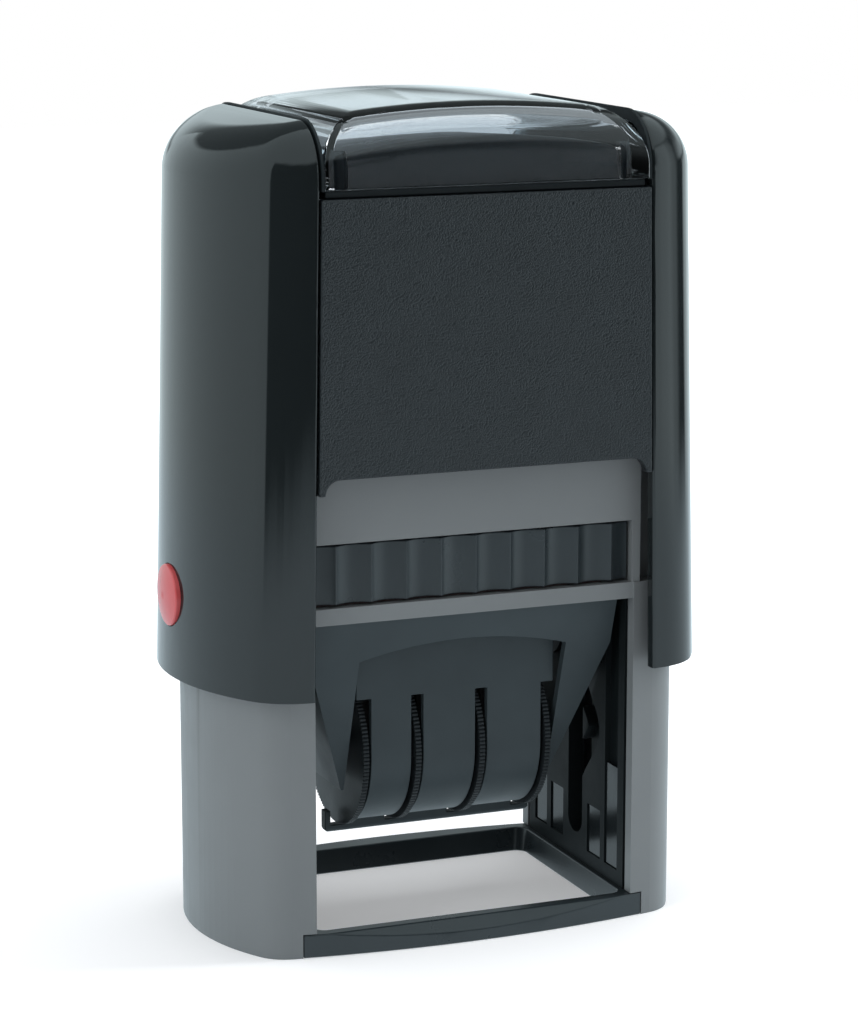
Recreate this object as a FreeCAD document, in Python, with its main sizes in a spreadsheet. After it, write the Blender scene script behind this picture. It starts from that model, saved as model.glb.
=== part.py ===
import FreeCAD, Part
import math
import os

import Sketcher
from FreeCAD import Placement, Rotation, Vector

# Self-inking date and time stamp, about 73 x 46 x 111 mm.
# Origin: middle of the face that it stands on. +Z up, front towards -Y.
# A grey base stands on a black foot. A cap slides down over it on a stroke and turns the
# type carriage half over by two pins that run in the curved grooves of the guide plates.

doc = FreeCAD.newDocument("date_stamp")

SIZES = [
    # Gaps
    ("fit_gap", 0.1, "gap between parts that are clipped together"),
    ("move_gap", 0.3, "gap between parts that move past each other"),
    ("run_gap", 0.05, "radial gap of a pin in its bore"),
    ("lap", 1.0, "overlap where forms are joined or cut"),
    # Motion
    ("stroke", 28.0, "travel of the cap"),
    ("type_level", 46.5, "height of the type face at rest"),
    ("cam_arm", 6.0, "turning pin to pivot"),
    # Text plate
    ("text_half_width", 20.6, "text plate"),
    ("text_half_depth", 12.0, "text plate"),
    ("text_thick", 1.5, "text plate"),
    ("rubber_thick", 1.2, "rubber type"),
    ("text_window_width", 12.9, "half window for the date line"),
    ("text_window_depth", 4.2, "half window for the date line"),
    # Carriage frame
    ("frame_top", "=type_level - rubber_thick - text_thick", "top of the carriage frame"),
    ("frame_side", 6.5, "upright part of its sides"),
    ("frame_bend", "=frame_top - frame_side", "where the sides start to lean in"),
    ("frame_tall", 24.8, "height of the frame"),
    ("frame_low", "=frame_top - frame_tall", "lower edge of the frame"),
    ("frame_lip", 0.8, "frame beside the text plate"),
    ("frame_half_width", "=text_half_width + frame_lip", "frame above the bend"),
    ("frame_foot_width", 15.2, "frame at its lower edge"),
    ("frame_top_depth", 15.4, "half depth at the top"),
    ("frame_foot_depth", 7.4, "half depth at the lower edge"),
    ("frame_wall", 1.2, "walls of the frame"),
    ("arch_side", 0.4, "arched opening inside the frame's lower edge"),
    ("arch_half", "=frame_foot_width - arch_side", "half width of the arched opening"),
    ("arch_bar", 3.8, "top of the arch below the frame's top"),
    ("arch_top", "=frame_top - arch_bar", "top of the arch"),
    ("arch_rise", 2.1, "height of the arch"),
    ("arch_spring", "=arch_top - arch_rise", "where the arch starts"),
    ("boss_radius", 4.0, "boss round the pivot"),
    ("boss_long", 3.0, "length of that boss"),
    ("boss_inner", "=frame_half_width - boss_long", "inner face of that boss"),
    ("turn_pin", 1.4, "radius of the turning pin"),
    ("deck_window_width", "=text_window_width + fit_gap", "half window for the bands"),
    ("deck_window_depth", "=text_window_depth + 2 * move_gap", "half window for the bands"),
    # Base
    ("span_play", 1.2, "carriage frame to leg"),
    ("span_half", "=frame_half_width + span_play", "half the gap between the legs"),
    ("leg_wide", 11.0, "width of a leg"),
    ("leg_half_width", "=span_half + leg_wide", "widest point of a leg from the middle"),
    ("bar_play", 0.6, "carriage frame to cross bar"),
    ("bar_inner", "=frame_top_depth + bar_play", "inner face of the cross bars"),
    ("bar_deep", 1.7, "depth of a cross bar"),
    ("face_half_depth", "=bar_inner + bar_deep", "flat front of the housing"),
    ("leg_step", 2.04, "legs in front of the housing"),
    ("leg_half_depth", "=face_half_depth + leg_step", "front arc of a leg at the middle"),
    ("side_arc", 29.0, "radius of a leg's side in plan"),
    ("front_arc", 150.0, "radius of a leg's front in plan"),
    ("leg_corner", 5.4, "corner radius of a leg in plan"),
    ("leg_wall", 1.8, "wall of the legs"),
    ("leg_top", "=type_level - fit_gap", "top of the legs and the cross bars"),
    ("bar_thick", 2.2, "thickness of a cross bar"),
    ("bar_level", "=leg_top - bar_thick", "underside of the cross bars"),
    ("ledge_half", "=frame_half_width + move_gap", "inner edge of the side ledges"),
    ("slot_tall", 8.4, "height of the pad slot"),
    ("slot_top", "=leg_top + slot_tall", "top of the pad slot"),
    ("well_thick", 2.2, "floor over the pad slot"),
    ("well_floor", "=slot_top + well_thick", "floor under the spring"),
    ("well_deep", 9.5, "housing above that floor"),
    ("housing_top", "=well_floor + well_deep", "top of the housing"),
    ("housing_inset", 2.2, "upper housing inside the leg outline"),
    # Return spring and its well
    ("spring_radius", 5.6, "middle of the wire"),
    ("wire_radius", 0.6, "spring wire"),
    ("spring_turns", 7, "turns of the spring"),
    ("well_play", 1.0, "spring to its well"),
    ("well_radius", "=spring_radius + wire_radius + well_play", "spring well"),
    ("well_wall", 1.4, "wall of the spring well"),
    ("well_height", 5.0, "height of the spring well"),
    # Foot
    ("foot_height", 3.11, "height of the foot frame"),
    ("foot_tongue", 1.7, "foot frame into the legs"),
    ("foot_half_width", "=span_half + foot_tongue", "ends of the foot frame"),
    ("foot_side", 0.6, "foot frame inside the legs"),
    ("foot_hole_width", "=span_half - foot_side", "half opening at the top"),
    ("foot_front", 3.24, "foot frame in front of its opening"),
    ("foot_hole_depth", "=leg_half_depth - foot_front", "half opening at the top"),
    ("foot_draw_width", 0.8, "how far the walls lean in across"),
    ("foot_draw_depth", 1.3, "how far the walls lean in along"),
    ("foot_corner", 1.6, "corner radius of the opening"),
    ("foot_facet", 1.5, "slanting facet along the front edge"),
    # Guide plates
    ("plate_thick", 2.4, "guide plate"),
    ("plate_short", 0.5, "guide plate behind the cross bars"),
    ("plate_half_depth", "=bar_inner - plate_short", "guide plate"),
    ("plate_top", "=bar_level - 2 * fit_gap", "top edge of the guide plate"),
    ("track_depth", 1.4, "curved groove in the guide plate"),
    ("pane_near", 4.0, "window in the guide plate, near side"),
    ("pane_far", 8.2, "window in the guide plate, far side"),
    ("pane_low", 5.2, "lower window, lower edge"),
    ("pane_high", 12.1, "lower window, upper edge"),
    ("pane_upper_low", 33.0, "upper window, lower edge"),
    ("pane_upper_high", 41.5, "upper window, upper edge"),
    ("rail_near", 9.6, "sunk panel beside the windows"),
    ("rail_far", 13.6, "sunk panel beside the windows"),
    ("rail_sink", 0.8, "depth of the sunk panel"),
    # Ink pad
    ("pad_half_width", "=text_half_width", "ink pad"),
    ("pad_margin", 0.6, "ink pad beyond the text plate"),
    ("pad_half_depth", "=text_half_depth + pad_margin", "ink pad"),
    ("ink_gap", 0.6, "type face to pad at rest"),
    ("tray_side", 1.5, "cassette beside the pad"),
    ("cassette_half", "=pad_half_width + tray_side", "half width of the pad cassette"),
    ("slot_half", "=cassette_half + move_gap", "half width of the pad slot"),
    ("tray_lift", 0.35, "cassette over the cross bars"),
    ("cassette_low", "=leg_top + tray_lift", "underside of the cassette"),
    ("cassette_high", "=slot_top - move_gap", "top of the grip"),
    ("tray_step", 0.7, "tray below the grip's top"),
    ("tray_high", "=cassette_high - tray_step", "top of the tray"),
    ("grip_sink", 0.2, "grip behind the housing's front"),
    ("grip_face", "=face_half_depth - grip_sink", "front of the grip"),
    ("grip_thick", 2.9, "thickness of the grip"),
    ("tray_play", 0.4, "tray to the back wall"),
    ("tray_back", "=face_half_depth - leg_wall - tray_play", "back end of the tray"),
    ("flute_pitch", 4.86, "spacing of the grip's flutes"),
    ("flute_sink", 0.8, "depth of a flute"),
    ("flute_count", 10, "flutes, the cut ones at both ends included"),
    ("tray_roof", 1.2, "wall over the pad"),
    # Cap
    ("deck_gap", 1.0, "bridge deck over the pressed housing"),
    ("deck_low", "=housing_top + stroke + deck_gap", "underside of the bridge deck"),
    ("deck_thick", 2.0, "bridge deck"),
    ("card_rise", 3.9, "raised deck under the window"),
    ("card_level", "=deck_low + card_rise", "top of that raised deck"),
    ("crown_rise", 11.2, "highest point over the raised deck"),
    ("crown_top", "=card_level + crown_rise", "highest point of the cap"),
    ("shell_tall", 75.3, "height of the side shells"),
    ("shell_low", "=crown_top - shell_tall", "bottom edge of the side shells"),
    ("shell_wall", 1.6, "wall of the side shells"),
    ("shell_play", 1.45, "side shell to leg, across"),
    ("shell_play_front", 2.16, "side shell to leg, in front"),
    ("shell_half_width", "=leg_half_width + shell_play + shell_wall", "shell at its bottom edge"),
    ("shell_half_depth", "=leg_half_depth + shell_play_front + shell_wall", "its front arc"),
    ("shell_draw", 2.05, "how far the side leans in to the top"),
    ("shell_draw_front", 0.15, "how far the front leans in to the top"),
    ("shell_side_arc", 32.0, "radius of the side in plan"),
    ("shell_front_arc", 153.0, "radius of the front in plan"),
    ("shell_corner", 8.5, "corner radius in plan"),
    ("shell_edge", 0.4, "rounding of the shell's inner edges"),
    ("seam_high", "=span_half", "inner edge of a side shell at the top"),
    ("seam_lean", 1.2, "how far that edge leans out to the bottom"),
    ("seam_low", "=seam_high + seam_lean", "inner edge of a side shell at the bottom"),
    ("crown_arc", 142.0, "radius of the crown seen from the front"),
    ("roof_round", 7.2, "rounding of the front and back top edges"),
    ("panel_sink", 1.65, "panels behind the shells' front"),
    ("panel_face", "=shell_half_depth - panel_sink", "front of the panels"),
    ("panel_thick", 1.6, "panels"),
    ("panel_tall", 35.4, "height of the panels"),
    ("panel_high", "=card_level - fit_gap", "upper edge of the panels"),
    ("panel_low", "=panel_high - panel_tall", "lower edge of the panels"),
    ("panel_lug", 2.0, "rounded lugs at the lower corners"),
    ("panel_gap", 0.15, "seam beside the panels"),
    ("window_play", 0.35, "seam beside the clear window"),
    ("window_half", "=seam_high - window_play", "half width of the clear window"),
    ("window_rise", 1.0, "clear window over the raised deck"),
    ("window_low", "=card_level + window_rise", "lower edge of the clear window"),
    ("window_wall", 1.8, "clear window"),
    ("window_side", 1.4, "side walls of the clear window"),
    ("clip_wide", 2.0, "clips in the corners of the window"),
    ("clip_tall", 4.4, "clips in the corners of the window"),
    ("seat_back", 0.7, "seat of the window behind its face"),
    ("seat_wide", 1.9, "width of that seat"),
    ("arm_inner", "=span_half + plate_thick + move_gap", "arms of the bridge, inner face"),
    ("arm_thick", 2.0, "arms of the bridge"),
    ("arm_half", 5.0, "half depth of an arm"),
    ("post_deep", 2.0, "corner posts behind the panels"),
    ("post_wide", 2.6, "corner posts behind the panels"),
    ("pivot_radius", 2.0, "pivot pin"),
    ("pin_short", 0.6, "pivot pin inside its boss"),
    ("pin_inner", "=boss_inner + pin_short", "inner end of the pivot pin"),
    ("peg_length", 6.0, "peg inside the spring"),
    # Lock buttons
    ("button_rise", 10.7, "lock buttons over the shells' bottom edge"),
    ("button_level", "=shell_low + button_rise", "height of the lock buttons"),
    ("button_radius", 4.1, "lock button"),
    ("button_proud", 0.9, "height of the dome over the shell"),
    ("button_edge", 0.35, "edge of the dome over the shell"),
    ("button_boss", 2.1, "inner boss of the button"),
    ("button_play", 0.4, "boss to leg"),
    ("button_boss_end", "=leg_half_width + button_play", "inner end of the boss"),
    ("button_boss_long", 0.9, "length of that boss"),
    ("button_back", "=button_boss_end + button_boss_long", "back of the button"),
    ("lock_drop", 7.0, "travel of the cap to the lock hole"),
    ("lock_level", "=button_level - lock_drop", "height of the lock hole"),
    ("lock_hole", 2.4, "radius of the lock hole"),
    ("lock_groove_depth", 1.0, "groove that the lock button runs in"),
    ("lock_groove_half", 4.6, "half width of that groove"),
    ("lock_groove_foot", "=lock_level - lock_hole - 2 * fit_gap", "its lower end"),
    # Setting wheels, bands and guard
    ("axle_drop", 20.1, "wheel axle below the frame's top"),
    ("axle_level", "=frame_top - axle_drop", "height of the wheel axle"),
    ("axle_radius", 1.5, "wheel axle"),
    ("axle_short", 0.5, "ends of the axle inside the frame"),
    ("rim_one", -12.95, "middle of the first rim"),
    ("rim_two", -5.5, "middle of the second rim"),
    ("rim_three", 3.7, "middle of the third rim"),
    ("rim_four", 13.3, "middle of the fourth rim"),
    ("hub_one_far", -9.35, "far end of the first hub"),
    ("hub_two_far", "=hub_one_far + move_gap", "far end of the second hub"),
    ("hub_three_far", -4.6, "far end of the third hub"),
    ("hub_four_far", 4.6, "far end of the fourth hub"),
    ("rim_radius", 11.24, "toothed rim"),
    ("rim_thick", 0.8, "toothed rim"),
    ("rim_teeth", 132, "teeth of a rim"),
    ("tooth_deep", 0.3, "depth of the teeth"),
    ("tooth_gap", 0.2, "half gap between the tips of two teeth"),
    ("hub_radius", 7.6, "hub under a band"),
    ("band_gap", 0.3, "band to hub"),
    ("band_thick", 0.9, "printing band"),
    ("band_side", 0.35, "band inside the ends of its hub"),
    ("bridge_half", 2.4, "half width of the print bridge"),
    ("bridge_round", 0.9, "rounded edge of the print bridge"),
    ("bridge_gap", 0.1, "band to bridge"),
    ("bridge_side", 0.2, "print bridge inside the date window"),
    ("bridge_tab", 2.0, "tabs of the print bridge under the frame"),
    ("bridge_drop", 2.2, "print bridge below the frame's top"),
    ("bridge_low", "=frame_top - bridge_drop", "underside of the print bridge"),
    ("guard_radius", 10.7, "outside of the wheel guard"),
    ("guard_wall", 1.0, "wall of the guard"),
    ("guard_play", 0.6, "guard beside the arched opening"),
    ("guard_half", "=arch_half - guard_play", "half width of the guard"),
    ("rim_play", 0.45, "rim to the sides of its slot"),
    ("rim_slot", 8.3, "top of the rims' slots over the axle"),
    ("keel_deep", 1.85, "keel below the guard"),
    ("keel_half", 0.8, "half thickness of the keel"),
    ("keel_end", 0.8, "keel beyond the guard's sides"),
    ("keel_rise", 1.2, "ends of the keel over the guard's underside"),
    ("keel_round", 0.7, "rounded lower corners of the keel"),
]

sheet = doc.addObject("Spreadsheet::Sheet", "Sizes")
for row, (alias, size, note) in enumerate(SIZES, 1):
    sheet.set(f"A{row}", note)
    sheet.setAlias(f"B{row}", alias)
for row, (alias, size, note) in enumerate(SIZES, 1):
    sheet.set(f"B{row}", str(size))
doc.recompute()


class Size:
    """A length that keeps the expression on the sheet beside its value."""

    def __init__(self, text, value):
        self.text = text
        self.value = value

    def __add__(self, other):
        return joined(self, "+", other)

    def __radd__(self, other):
        return joined(other, "+", self)

    def __sub__(self, other):
        return joined(self, "-", other)

    def __rsub__(self, other):
        return joined(other, "-", self)

    def __mul__(self, other):
        return joined(self, "*", other)

    def __rmul__(self, other):
        return joined(other, "*", self)

    def __truediv__(self, other):
        return joined(self, "/", other)

    def __neg__(self):
        return joined(-1, "*", self)


def text_of(thing):
    return thing.text if isinstance(thing, Size) else repr(thing)


def value_of(thing):
    return thing.value if isinstance(thing, Size) else thing


def joined(left, sign, right):
    a, b = value_of(left), value_of(right)
    value = {"+": a + b, "-": a - b, "*": a * b}[sign] if sign != "/" else a / b
    return Size(f"({text_of(left)} {sign} {text_of(right)})", value)


def root(size):
    return Size(f"sqrt({size.text})", math.sqrt(size.value))


class Sheet:
    """Every size of the sheet by its name."""


s = Sheet()
for alias, size, note in SIZES:
    setattr(s, alias, Size(f"Sizes.{alias}", float(sheet.get(alias))))


def bind(thing, setting, size):
    """Tie one setting of a feature to the sheet."""
    if isinstance(size, Size):
        thing.setExpression(setting, size.text)


# Sketches

SIDES = {"XY": "XY_Plane", "XZ": "XZ_Plane", "YZ": "YZ_Plane"}


def new_body(name):
    return doc.addObject("PartDesign::Body", name)


def sketch(body, plane, level=0):
    """A sketch on one of the body's own planes, moved along its normal by level."""
    made = body.newObject("Sketcher::SketchObject", "Sketch")
    support = next(f for f in body.Origin.OriginFeatures if f.Role == SIDES[plane])
    made.AttachmentSupport = [(support, "")]
    made.MapMode = "FlatFace"
    made.AttachmentOffset = Placement(Vector(0, 0, value_of(level)), Rotation())
    bind(made, "AttachmentOffset.Base.z", level)
    return made


def hold(drawing, kind, first, first_end, second, second_end, size):
    """Add one dimension and tie it to the sheet."""
    ends = (first, first_end) if second is None else (first, first_end, second, second_end)
    if second is None and first_end is None:
        ends = (first,)
    number = drawing.addConstraint(Sketcher.Constraint(kind, *ends, float(value_of(size))))
    bind(drawing, f"Constraints[{number}]", size)


def place(drawing, edge, end, x, y):
    """Fix an end (1, 2) or a centre (3) of an edge from the origin."""
    hold(drawing, "DistanceX", -1, 1, edge, end, x)
    hold(drawing, "DistanceY", -1, 1, edge, end, y)


def polygon(drawing, corners):
    """A closed outline of straight edges through corners."""
    points = [Vector(value_of(x), value_of(y), 0) for x, y in corners]
    first = drawing.GeometryCount
    count = len(points)
    for n in range(count):
        drawing.addGeometry(Part.LineSegment(points[n], points[(n + 1) % count]), False)
    for n, (x, y) in enumerate(corners):
        before = first + (n - 1) % count
        drawing.addConstraint(Sketcher.Constraint("Coincident", before, 2, first + n, 1))
        place(drawing, first + n, 1, x, y)


def rectangle(drawing, x0, y0, x1, y1):
    polygon(drawing, [(x0, y0), (x1, y0), (x1, y1), (x0, y1)])


def circle(drawing, x, y, radius):
    centre = Vector(value_of(x), value_of(y), 0)
    edge = drawing.addGeometry(Part.Circle(centre, Vector(0, 0, 1), value_of(radius)), False)
    hold(drawing, "Radius", edge, None, None, None, radius)
    place(drawing, edge, 3, x, y)


def arc(centre, radius, start, end):
    ring = Part.Circle(Vector(centre[0], centre[1], 0), Vector(0, 0, 1), radius)
    return Part.ArcOfCircle(ring, math.radians(start), math.radians(end))


def rounded(drawing, x0, y0, x1, y1, radius):
    """A rectangle with rounded corners."""
    r = value_of(radius)
    centres = [
        (x1 - radius, y1 - radius, 0),
        (x0 + radius, y1 - radius, 90),
        (x0 + radius, y0 + radius, 180),
        (x1 - radius, y0 + radius, 270),
    ]
    corners = []
    for x, y, turn in centres:
        edge = drawing.addGeometry(arc((value_of(x), value_of(y)), r, turn, turn + 90), False)
        hold(drawing, "Radius", edge, None, None, None, radius)
        place(drawing, edge, 3, x, y)
        corners.append(edge)
    for n, edge in enumerate(corners):
        after = corners[(n + 1) % 4]
        start = drawing.Geometry[edge].EndPoint
        end = drawing.Geometry[after].StartPoint
        line = drawing.addGeometry(Part.LineSegment(start, end), False)
        drawing.addConstraint(Sketcher.Constraint("Tangent", edge, 2, line, 1))
        drawing.addConstraint(Sketcher.Constraint("Tangent", line, 2, after, 1))


class Plan:
    """A bowed plan outline: side, front and corner arcs that run into each other."""

    def __init__(self, half_width, half_depth, side_arc, front_arc, corner):
        self.half_width = half_width
        self.half_depth = half_depth
        self.side_arc = side_arc
        self.front_arc = front_arc
        self.corner = corner

    def inside(self, gap):
        """The parallel outline a gap further in."""
        return Plan(
            self.half_width - gap,
            self.half_depth - gap,
            self.side_arc - gap,
            self.front_arc - gap,
            self.corner - gap,
        )

    def corner_centre(self):
        """Where the corner arc touches both the side arc and the front arc."""
        side = value_of(self.half_width) - value_of(self.side_arc)
        front = value_of(self.front_arc) - value_of(self.half_depth)
        near = value_of(self.side_arc) - value_of(self.corner)
        far = value_of(self.front_arc) - value_of(self.corner)
        span = math.hypot(side, front)
        along = (near**2 - far**2 + span**2) / (2 * span)
        off = math.sqrt(near**2 - along**2)
        ux, uy = -side / span, front / span
        return side + along * ux + off * uy, along * uy - off * ux

    def lobe(self, drawing, cut, hand):
        """The part of the outline beyond x = cut, on the right (hand 1) or left (-1)."""
        x, y = self.corner_centre()
        big = value_of(self.front_arc)
        middle = big - value_of(self.half_depth)
        side = value_of(self.half_width) - value_of(self.side_arc)
        front_turn = math.degrees(math.atan2(y - middle, x))
        side_turn = math.degrees(math.atan2(y, x - side))
        edge_turn = -math.degrees(math.acos(value_of(cut) / big))
        parts = [
            ((0, middle), big, edge_turn, front_turn),
            ((x, y), value_of(self.corner), front_turn, side_turn),
            ((side, 0), value_of(self.side_arc), side_turn, -side_turn),
            ((x, -y), value_of(self.corner), -side_turn, -front_turn),
            ((0, -middle), big, -front_turn, -edge_turn),
        ]
        edges = []
        for centre, radius, start, end in parts:
            if hand > 0:
                piece = arc(centre, radius, start, end)
            else:
                piece = arc((-centre[0], centre[1]), radius, 180 - end, 180 - start)
            edges.append(drawing.addGeometry(piece, False))
        first, last = (1, 2) if hand > 0 else (2, 1)
        for before, after in zip(edges, edges[1:]):
            drawing.addConstraint(Sketcher.Constraint("Tangent", before, last, after, first))
        radii = [self.front_arc, self.corner, self.side_arc, self.corner, self.front_arc]
        for edge, radius in zip(edges, radii):
            hold(drawing, "Radius", edge, None, None, None, radius)
        place(drawing, edges[0], 3, 0, self.front_arc - self.half_depth)
        place(drawing, edges[2], 3, hand * (self.half_width - self.side_arc), 0)
        place(drawing, edges[4], 3, 0, self.half_depth - self.front_arc)
        opening, closing = drawing.Geometry[edges[0]], drawing.Geometry[edges[4]]
        if hand > 0:
            start, end = closing.EndPoint, opening.StartPoint
        else:
            start, end = closing.StartPoint, opening.EndPoint
        line = drawing.addGeometry(Part.LineSegment(start, end), False)
        drawing.addConstraint(Sketcher.Constraint("Coincident", edges[4], last, line, 1))
        drawing.addConstraint(Sketcher.Constraint("Coincident", line, 2, edges[0], first))
        hold(drawing, "DistanceX", -1, 1, line, 1, hand * cut)
        hold(drawing, "DistanceX", -1, 1, line, 2, hand * cut)

    def band(self, drawing, half):
        """The middle of the outline, between x = -half and x = half."""
        big = value_of(self.front_arc)
        middle = big - value_of(self.half_depth)
        turn = math.degrees(math.acos(value_of(half) / big))
        back = drawing.addGeometry(arc((0, -middle), big, turn, 180 - turn), False)
        front = drawing.addGeometry(arc((0, middle), big, turn - 180, -turn), False)
        level = self.front_arc - self.half_depth
        for edge, y in ((back, -level), (front, level)):
            hold(drawing, "Radius", edge, None, None, None, self.front_arc)
            place(drawing, edge, 3, 0, y)
        for before, after, side in ((back, front, -half), (front, back, half)):
            start = drawing.Geometry[before].EndPoint
            end = drawing.Geometry[after].StartPoint
            line = drawing.addGeometry(Part.LineSegment(start, end), False)
            drawing.addConstraint(Sketcher.Constraint("Coincident", before, 2, line, 1))
            drawing.addConstraint(Sketcher.Constraint("Coincident", line, 2, after, 1))
            hold(drawing, "DistanceX", -1, 1, line, 1, side)
            hold(drawing, "DistanceX", -1, 1, line, 2, side)


# Features

def feature(body, kind, drawing, length, middle=False, back=False, through=False):
    made = body.newObject(f"PartDesign::{kind}", kind)
    made.Profile = drawing
    if through:
        made.Type = 1
    else:
        made.Length = value_of(length)
        bind(made, "Length", length)
    if middle:
        made.SideType = "Symmetric"
    made.Reversed = back
    body.Tip = made
    return made


def pad(body, drawing, length, **options):
    return feature(body, "Pad", drawing, length, **options)


def pocket(body, drawing, length, **options):
    """Cut a sketch into the body, and stop if it cut nothing."""
    doc.recompute()
    before = body.Shape.Volume
    made = feature(body, "Pocket", drawing, length, **options)
    doc.recompute()
    if not body.Shape.Volume < before - 1e-3:
        raise ValueError(f"{body.Name}: {made.Name} cuts nothing")
    return made


def loft(body, sketches, kind="AdditiveLoft"):
    made = body.newObject(f"PartDesign::{kind}", kind)
    made.Profile = sketches[0]
    made.Sections = sketches[1:]
    made.Ruled = True
    body.Tip = made
    return made


def finish_edges(body, kind, size, test):
    """Fillet or chamfer the edges of the body that pass a test."""
    doc.recompute()
    base = body.Tip
    names = [f"Edge{n}" for n, edge in enumerate(base.Shape.Edges, 1) if test(edge)]
    if not names:
        raise ValueError(f"{body.Name}: no edge to {kind}")
    made = body.newObject(f"PartDesign::{kind}", kind)
    made.Base = (base, names)
    setting = "Radius" if kind == "Fillet" else "Size"
    setattr(made, setting, value_of(size))
    bind(made, setting, size)
    body.Tip = made
    return made


def near(value, target, slack=0.01):
    return abs(value - value_of(target)) < slack


def cut(name, base, tool):
    made = doc.addObject("Part::Cut", name)
    made.Base = base
    made.Tool = tool
    return made


def cylinder(name, radius, length, x, y, z):
    """A round bar along X that starts at x, y, z."""
    made = doc.addObject("Part::Cylinder", name)
    made.Placement = Placement(
        Vector(value_of(x), value_of(y), value_of(z)), Rotation(Vector(0, 1, 0), 90)
    )
    for setting, size in (("Radius", radius), ("Height", length)):
        setattr(made, setting, value_of(size))
        bind(made, setting, size)
    for setting, size in (("x", x), ("y", y), ("z", z)):
        bind(made, f"Placement.Base.{setting}", size)
    return made


def box(name, low, high):
    made = doc.addObject("Part::Box", name)
    made.Placement = Placement(Vector(*[value_of(v) for v in low]), Rotation())
    for setting, start, end in zip(("Length", "Width", "Height"), low, high):
        size = end - start
        setattr(made, setting, value_of(size))
        bind(made, setting, size)
    for setting, size in zip("xyz", low):
        bind(made, f"Placement.Base.{setting}", size)
    return made


def mirrored(name, source):
    """The same piece on the other side of the middle."""
    made = doc.addObject("Part::Mirroring", name)
    made.Source = source
    made.Base = (0, 0, 0)
    made.Normal = (1, 0, 0)
    return made


PIECES = []


def keep(name, made):
    """Give a finished piece the name that its file gets."""
    made.Label = name
    PIECES.append((name, made))
    return made


# Heights that follow from the stroke
pressed_pivot = (s.type_level - s.stroke) / 2
pivot_level = pressed_pivot + s.stroke

leg_plan = Plan(s.leg_half_width, s.leg_half_depth, s.side_arc, s.front_arc, s.leg_corner)
RIMS = [s.rim_one, s.rim_two, s.rim_three, s.rim_four]
frame_lean = (s.frame_half_width - s.frame_foot_width) / (s.frame_bend - s.frame_low)
axle_half = s.frame_foot_width + frame_lean * (s.axle_level - s.frame_low) - s.axle_short


# Base housing

def base_housing():
    body = new_body("base_housing")
    drawing = sketch(body, "XY", s.bar_level)
    wide, deep = s.span_half + s.lap, s.face_half_depth
    rectangle(drawing, -wide, -deep, wide, deep)
    pad(body, drawing, s.housing_top - s.bar_level)
    upper = leg_plan.inside(s.housing_inset)
    drawing = sketch(body, "XY", s.bar_level)
    both_lobes(drawing, upper, s.span_half - s.lap)
    pad(body, drawing, s.housing_top - s.bar_level)
    drawing = sketch(body, "XY")
    both_lobes(drawing, leg_plan, s.span_half)
    pad(body, drawing, s.leg_top)
    # Hollow legs, open to the middle
    drawing = sketch(body, "XY")
    both_lobes(drawing, leg_plan.inside(s.leg_wall), s.span_half - s.fit_gap)
    pocket(body, drawing, s.bar_level, back=True)
    # Opening under the pad: the rest is two cross bars and two side ledges
    drawing = sketch(body, "XY", s.leg_top)
    rectangle(drawing, -s.ledge_half, -s.bar_inner, s.ledge_half, s.bar_inner)
    pocket(body, drawing, s.leg_top - s.bar_level)
    # Slot of the pad cassette
    drawing = sketch(body, "XZ", s.face_half_depth)
    rectangle(drawing, -s.slot_half, s.leg_top, s.slot_half, s.slot_top)
    pocket(body, drawing, 2 * s.face_half_depth - s.leg_wall)
    # Open well above the slot, with a ring for the spring
    drawing = sketch(body, "XY", s.housing_top)
    deep = s.face_half_depth - s.leg_wall
    rectangle(drawing, -s.span_half, -deep, s.span_half, deep)
    pocket(body, drawing, s.housing_top - s.well_floor)
    drawing = sketch(body, "XY", s.housing_top)
    both_lobes(drawing, upper.inside(s.leg_wall), s.span_half - s.lap)
    pocket(body, drawing, s.housing_top - s.well_floor)
    drawing = sketch(body, "XY", s.well_floor)
    circle(drawing, 0, 0, s.well_radius + s.well_wall)
    circle(drawing, 0, 0, s.well_radius)
    pad(body, drawing, s.well_height)
    # Slots for the arms of the bridge
    drawing = sketch(body, "XY", s.well_floor)
    low, high = s.arm_inner - s.move_gap, s.arm_inner + s.arm_thick + s.move_gap
    side = s.arm_half + s.move_gap
    rectangle(drawing, low, -side, high, side)
    rectangle(drawing, -high, -side, -low, side)
    pocket(body, drawing, s.well_floor - s.bar_level)
    # Notches that the foot frame clips into
    drawing = sketch(body, "XZ")
    reach = s.foot_half_width + s.fit_gap
    rectangle(drawing, -reach, -s.lap, reach, s.foot_height + s.fit_gap)
    pocket(body, drawing, 2 * s.leg_half_depth, middle=True)
    # Grooves and holes of the lock buttons
    drawing = sketch(body, "XY", s.leg_top)
    floor = s.leg_half_width - s.lock_groove_depth
    for hand in (1, -1):
        ends = sorted((hand * floor, hand * (s.leg_half_width + s.lap)), key=value_of)
        rectangle(drawing, ends[0], -s.lock_groove_half, ends[1], s.lock_groove_half)
    pocket(body, drawing, s.leg_top - s.lock_groove_foot)
    drawing = sketch(body, "YZ")
    circle(drawing, 0, s.lock_level, s.lock_hole)
    pocket(body, drawing, 2 * s.leg_half_width, middle=True)
    return keep("base_housing", body)


def both_lobes(drawing, plan, cut_at):
    plan.lobe(drawing, cut_at, 1)
    plan.lobe(drawing, cut_at, -1)


# Foot and guide plates

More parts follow.
